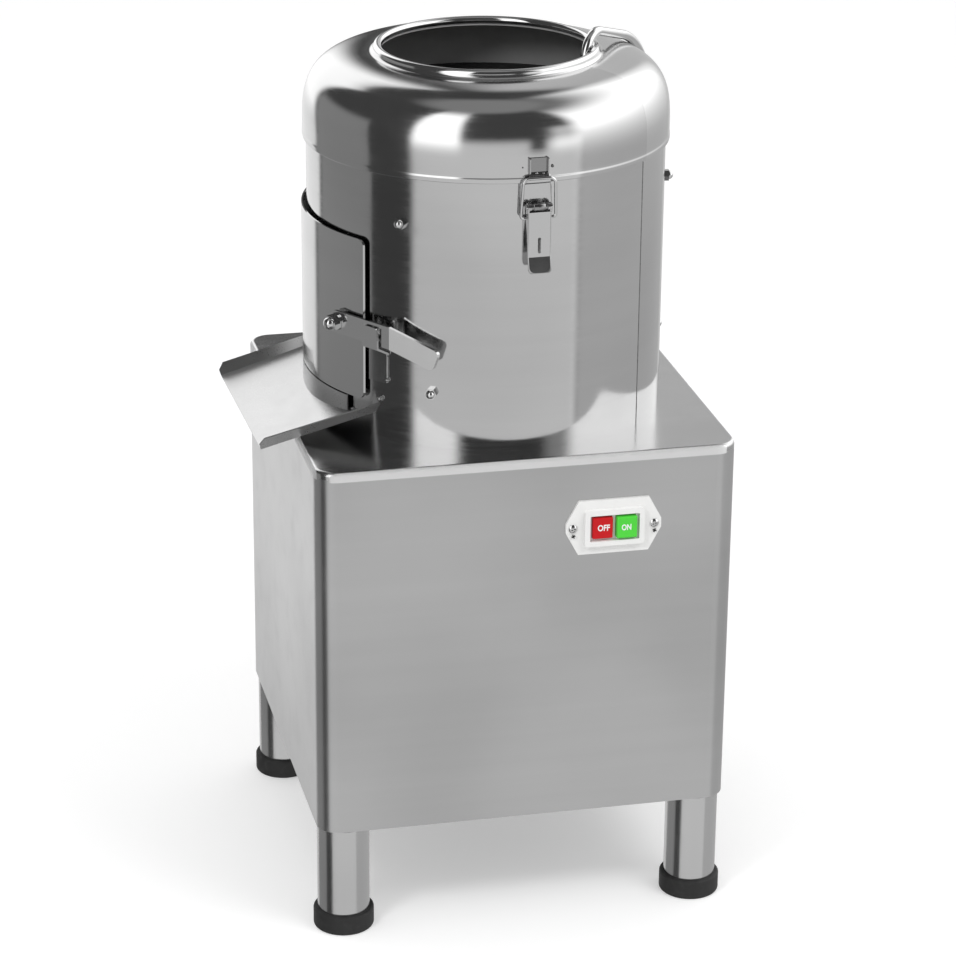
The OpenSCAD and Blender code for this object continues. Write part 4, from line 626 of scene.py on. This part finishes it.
def make_leg_welds():
    """Short fillets where each leg meets the cabinet's lower edge, on its two outer sides."""
    low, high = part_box("legs")
    z = base_low.z - 0.3 * MM
    seed = 21
    for sx, x in ((-1, low.x + LEG_TUBE_R), (1, high.x - LEG_TUBE_R)):
        for sy, y in ((-1, low.y + LEG_TUBE_R), (1, high.y - LEG_TUBE_R)):
            side = "left" if sx < 0 else "right"
            end = "front" if sy < 0 else "rear"
            for part, middle in (("a", math.atan2(sy, 0)), ("b", math.atan2(0, sx))):
                arc = [Vector((x + (LEG_TUBE_R + 0.2 * MM) * math.cos(middle + t),
                               y + (LEG_TUBE_R + 0.2 * MM) * math.sin(middle + t), z))
                       for t in (math.radians(-34 + 4 * k) for k in range(18))]
                weld("leg_weld_%s_%s_%s" % (end, side, part), arc, 1.0 * MM, "cabinet", 1.8, seed)
                seed += 1


# How far the key's face lies behind the solid's and is sunk, and the letters' height per unit of extrusion.
KEY_BACK, KEY_DISH, LETTER_STEP = 0.30 * MM, 0.15 * MM, 10 * MM


def push_key(name, node, body, material):
    """A push button's cap: rounded edges, a bevelled rim and a slightly sunk face, in the solid's place."""
    low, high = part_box(node)
    middle, size = (low + high) / 2, high - low
    build = bmesh.new()
    bmesh.ops.create_cube(build, size=1.0)
    for vert in build.verts:
        vert.co = Vector((middle.x + vert.co.x * size.x, middle.y + vert.co.y * size.y,
                          middle.z + vert.co.z * size.z))
        if vert.co.y < middle.y:
            vert.co.y += KEY_BACK
    bmesh.ops.bevel(build, geom=list(build.edges), offset=0.7 * MM, segments=3, profile=0.5, affect="EDGES")
    front = max((f for f in build.faces if f.normal.y < -0.99), key=lambda f: f.calc_area())
    bmesh.ops.inset_region(build, faces=[front], thickness=0.9 * MM, depth=0.0)
    bmesh.ops.translate(build, verts=list(front.verts), vec=(0, KEY_DISH, 0))
    mesh = bpy.data.meshes.new(name)
    build.to_mesh(mesh)
    build.free()
    piece = finish_piece(add_object(name, mesh), body, material, 30)
    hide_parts(node)


def lettering(name, words, node, body, width, height, shift_x, shift_z):
    """Raised white capitals on a push button's face."""
    data = bpy.data.curves.new(name, "FONT")
    data.body, data.align_x, data.align_y = words, "CENTER", "CENTER"
    data.size, data.extrude, data.offset, data.resolution_u = 1.0, 0.02, 0.025, 6
    text = add_object(name + "_source", data)
    mesh = bpy.data.meshes.new_from_object(text.evaluated_get(bpy.context.evaluated_depsgraph_get()))
    bpy.data.objects.remove(text)
    mesh.name = name
    xs, ys = [v.co.x for v in mesh.vertices], [v.co.y for v in mesh.vertices]
    low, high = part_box(node)
    face = Vector(((low.x + high.x) / 2 + shift_x * MM, low.y + KEY_BACK,
                   (low.z + high.z) / 2 + shift_z * MM))
    for vert in mesh.vertices:
        x = (vert.co.x - (min(xs) + max(xs)) / 2) / (max(xs) - min(xs)) * width * MM
        z = (vert.co.y - (min(ys) + max(ys)) / 2) / (max(ys) - min(ys)) * height * MM
        vert.co = face + Vector((x, -vert.co.z * LETTER_STEP, z))
    return finish_piece(add_object(name, mesh), body, "lettering", 30)


make_hood()
make_welds()
make_leg_welds()
make_keeper_marks()
make_latch_edges()
make_screw_recess_shade()
push_key("off_key", "off_button", "stop_button", "red_plastic")
push_key("on_key", "on_button", "start_button", "green_plastic")
lettering("word_off", "OFF", "off_button", "stop_button", 11.7, 6.2, 0.8, 0.4)
lettering("word_on", "ON", "on_button", "start_button", 9.3, 6.0, -0.8, 0.4)

# ------------------------------------------------------------------ light, floor and camera
# Each soft box: azimuth from, to, softness; elevation from, to, softness (degrees); strength.
SOFT_BOXES = (
    (-149, -119, 3, -2, 62, 12, 1.75),
    (-45, 58, 6, -1, 54, 17, 1.75),
    (-62, -45, 5, -8, 22, 6, 0.66),
    (58, 78, 3, -95, 42, 6, 0.55),
    (84, 125, 3, -24.5, 44, 2.5, 0.90),
    (88, 122, 3, -8, 40, 6, 0.50),
    (84, 125, 3, -95, -24.5, 2.5, 0.62),
    (-150, -76, 3, -95, 3, 7, 0.66),
    (-76, -66, 3, -95, -9, 4, 0.66),
    (-66, -42, 3, -95, 3, 7, 0.66),
    (-42, 58, 5, -95, -2, 10, 0.46),
    (128, 181, 3, -95, 12, 6, 0.23),
    (-181, 181, 1, 68, 95, 6, 0.22),
)
AMBIENT = 0.06
SOFT_LEVEL = 0.80
FLOOR_REACH, FLOOR_LEVEL, FLOOR_GLOW = 9.0, 0.80, 0.33
# Each lamp: name, watts, width, place from the drum's axis, height on that axis that it is aimed at.
LAMPS = (("key", 26.0, 1.6, (1.5, -1.7, 2.9), 0.45),
         ("mouth", 12.0, 0.5, (-1.3, -1.3, 1.88), 0.80))


def window(tree, value, low, high, soft):
    """1 between two angles and 0 outside, with soft edges."""
    rise = span(tree, value, low - soft, low + soft, 0.0, 1.0)
    fall = span(tree, value, high - soft, high + soft, 1.0, 0.0)
    return math_node(tree, "MULTIPLY", rise, fall)


def light_world():
    """White behind the object, a soft level for matt surfaces, and soft boxes for metal to show."""
    world = bpy.data.worlds.new("studio")
    bpy.context.scene.world = world
    world.use_nodes = True
    tree = world.node_tree
    tree.nodes.clear()
    direction = make(tree, "ShaderNodeTexCoord").outputs["Generated"]
    parts = make(tree, "ShaderNodeSeparateXYZ", Vector=direction)
    azimuth = math_node(tree, "DEGREES", math_node(tree, "ARCTAN2", parts.outputs[1], parts.outputs[0]))
    elevation = math_node(tree, "DEGREES", math_node(tree, "ARCSINE", parts.outputs[2]))
    total = AMBIENT
    for az_low, az_high, az_soft, el_low, el_high, el_soft, strength in SOFT_BOXES:
        across = window(tree, azimuth, az_low, az_high, az_soft)
        along = window(tree, elevation, el_low, el_high, el_soft)
        lit = math_node(tree, "MULTIPLY", math_node(tree, "MULTIPLY", across, along), strength)
        pair = (lit, AMBIENT) if total is AMBIENT else (total, lit)
        total = math_node(tree, "ADD", *pair)
    rays = make(tree, "ShaderNodeLightPath").outputs
    metal = math_node(tree, "MAXIMUM", rays["Is Glossy Ray"], rays["Is Transmission Ray"])
    seen = make(tree, "ShaderNodeMixRGB", Fac=metal, Color1=grey(SOFT_LEVEL), Color2=total).outputs[0]
    seen = make(tree, "ShaderNodeMixRGB", Fac=rays["Is Camera Ray"], Color1=seen,
                Color2=grey(1.0)).outputs[0]
    shader = make(tree, "ShaderNodeBackground", Color=seen, Strength=1.0)
    output = tree.nodes.new("ShaderNodeOutputWorld")
    tree.links.new(shader.outputs[0], output.inputs["Surface"])


def light_lamp(name, power, size, place, aim_z):
    """A round soft lamp at a place round the drum's axis, aimed at a height on that axis."""
    data = bpy.data.lights.new(name, "AREA")
    data.energy, data.shape, data.size = power, "DISK", size
    lamp = add_object(name, data)
    lamp.location = AXIS + Vector(place)
    aim = AXIS + Vector((0, 0, aim_z)) - lamp.location
    lamp.rotation_euler = aim.to_track_quat("-Z", "Y").to_euler()
    lamp.visible_glossy = False


def lay_floor():
    """A pale floor that keeps the machine's shadow."""
    mesh = bpy.data.meshes.new("floor")
    corners = [(AXIS.x + sx * FLOOR_REACH, AXIS.y + sy * FLOOR_REACH, 0)
               for sx, sy in ((-1, -1), (1, -1), (1, 1), (-1, 1))]
    mesh.from_pydata(corners, [], [(0, 1, 2, 3)])
    floor = add_object("floor", mesh)
    material, tree, shader = new_material("floor_white")
    shader.inputs["Base Color"].default_value = grey(FLOOR_LEVEL)
    shader.inputs["Roughness"].default_value = 0.9
    rays = make(tree, "ShaderNodeLightPath").outputs
    glow = make(tree, "ShaderNodeEmission", Color=grey(1.0), Strength=FLOOR_GLOW)
    none = make(tree, "ShaderNodeEmission", Color=grey(0.0), Strength=0.0)
    seen = make(tree, "ShaderNodeMixShader", i0=rays["Is Camera Ray"], i1=none.outputs[0],
                i2=glow.outputs[0])
    both = make(tree, "ShaderNodeAddShader", i0=shader.outputs[0], i1=seen.outputs[0])
    output = [n for n in tree.nodes if n.type == "OUTPUT_MATERIAL"][0]
    tree.links.new(both.outputs[0], output.inputs["Surface"])
    mesh.materials.append(material)
    floor.visible_glossy = False


CAMERA_AT = Vector((-700.0, -3003.0, 1609.7)) * MM
YAW, PITCH, ROLL = (math.radians(a) for a in (13.04, -21.65, 0.53))
FOCAL_PX, FRAME_PX, SENSOR = 3338.2, 956, 36.0


def place_camera():
    """The photograph's viewpoint."""
    data = bpy.data.cameras.new("camera")
    data.sensor_width = SENSOR
    data.lens = FOCAL_PX / FRAME_PX * SENSOR
    data.clip_start, data.clip_end = 0.1, 100
    camera = add_object("camera", data)
    ahead = Vector((math.sin(YAW) * math.cos(PITCH), math.cos(YAW) * math.cos(PITCH), math.sin(PITCH)))
    level = Vector((math.cos(YAW), -math.sin(YAW), 0))
    above = level.cross(ahead)
    right = level * math.cos(ROLL) + above * math.sin(ROLL)
    top = above * math.cos(ROLL) - level * math.sin(ROLL)
    turn = Matrix((right, top, -ahead)).transposed().to_4x4()
    camera.matrix_world = Matrix.Translation(AXIS + CAMERA_AT) @ turn
    bpy.context.scene.camera = camera


light_world()
for lamp_values in LAMPS:
    light_lamp(*lamp_values)
lay_floor()
place_camera()
bpy.context.scene.view_settings.view_transform = "Standard"
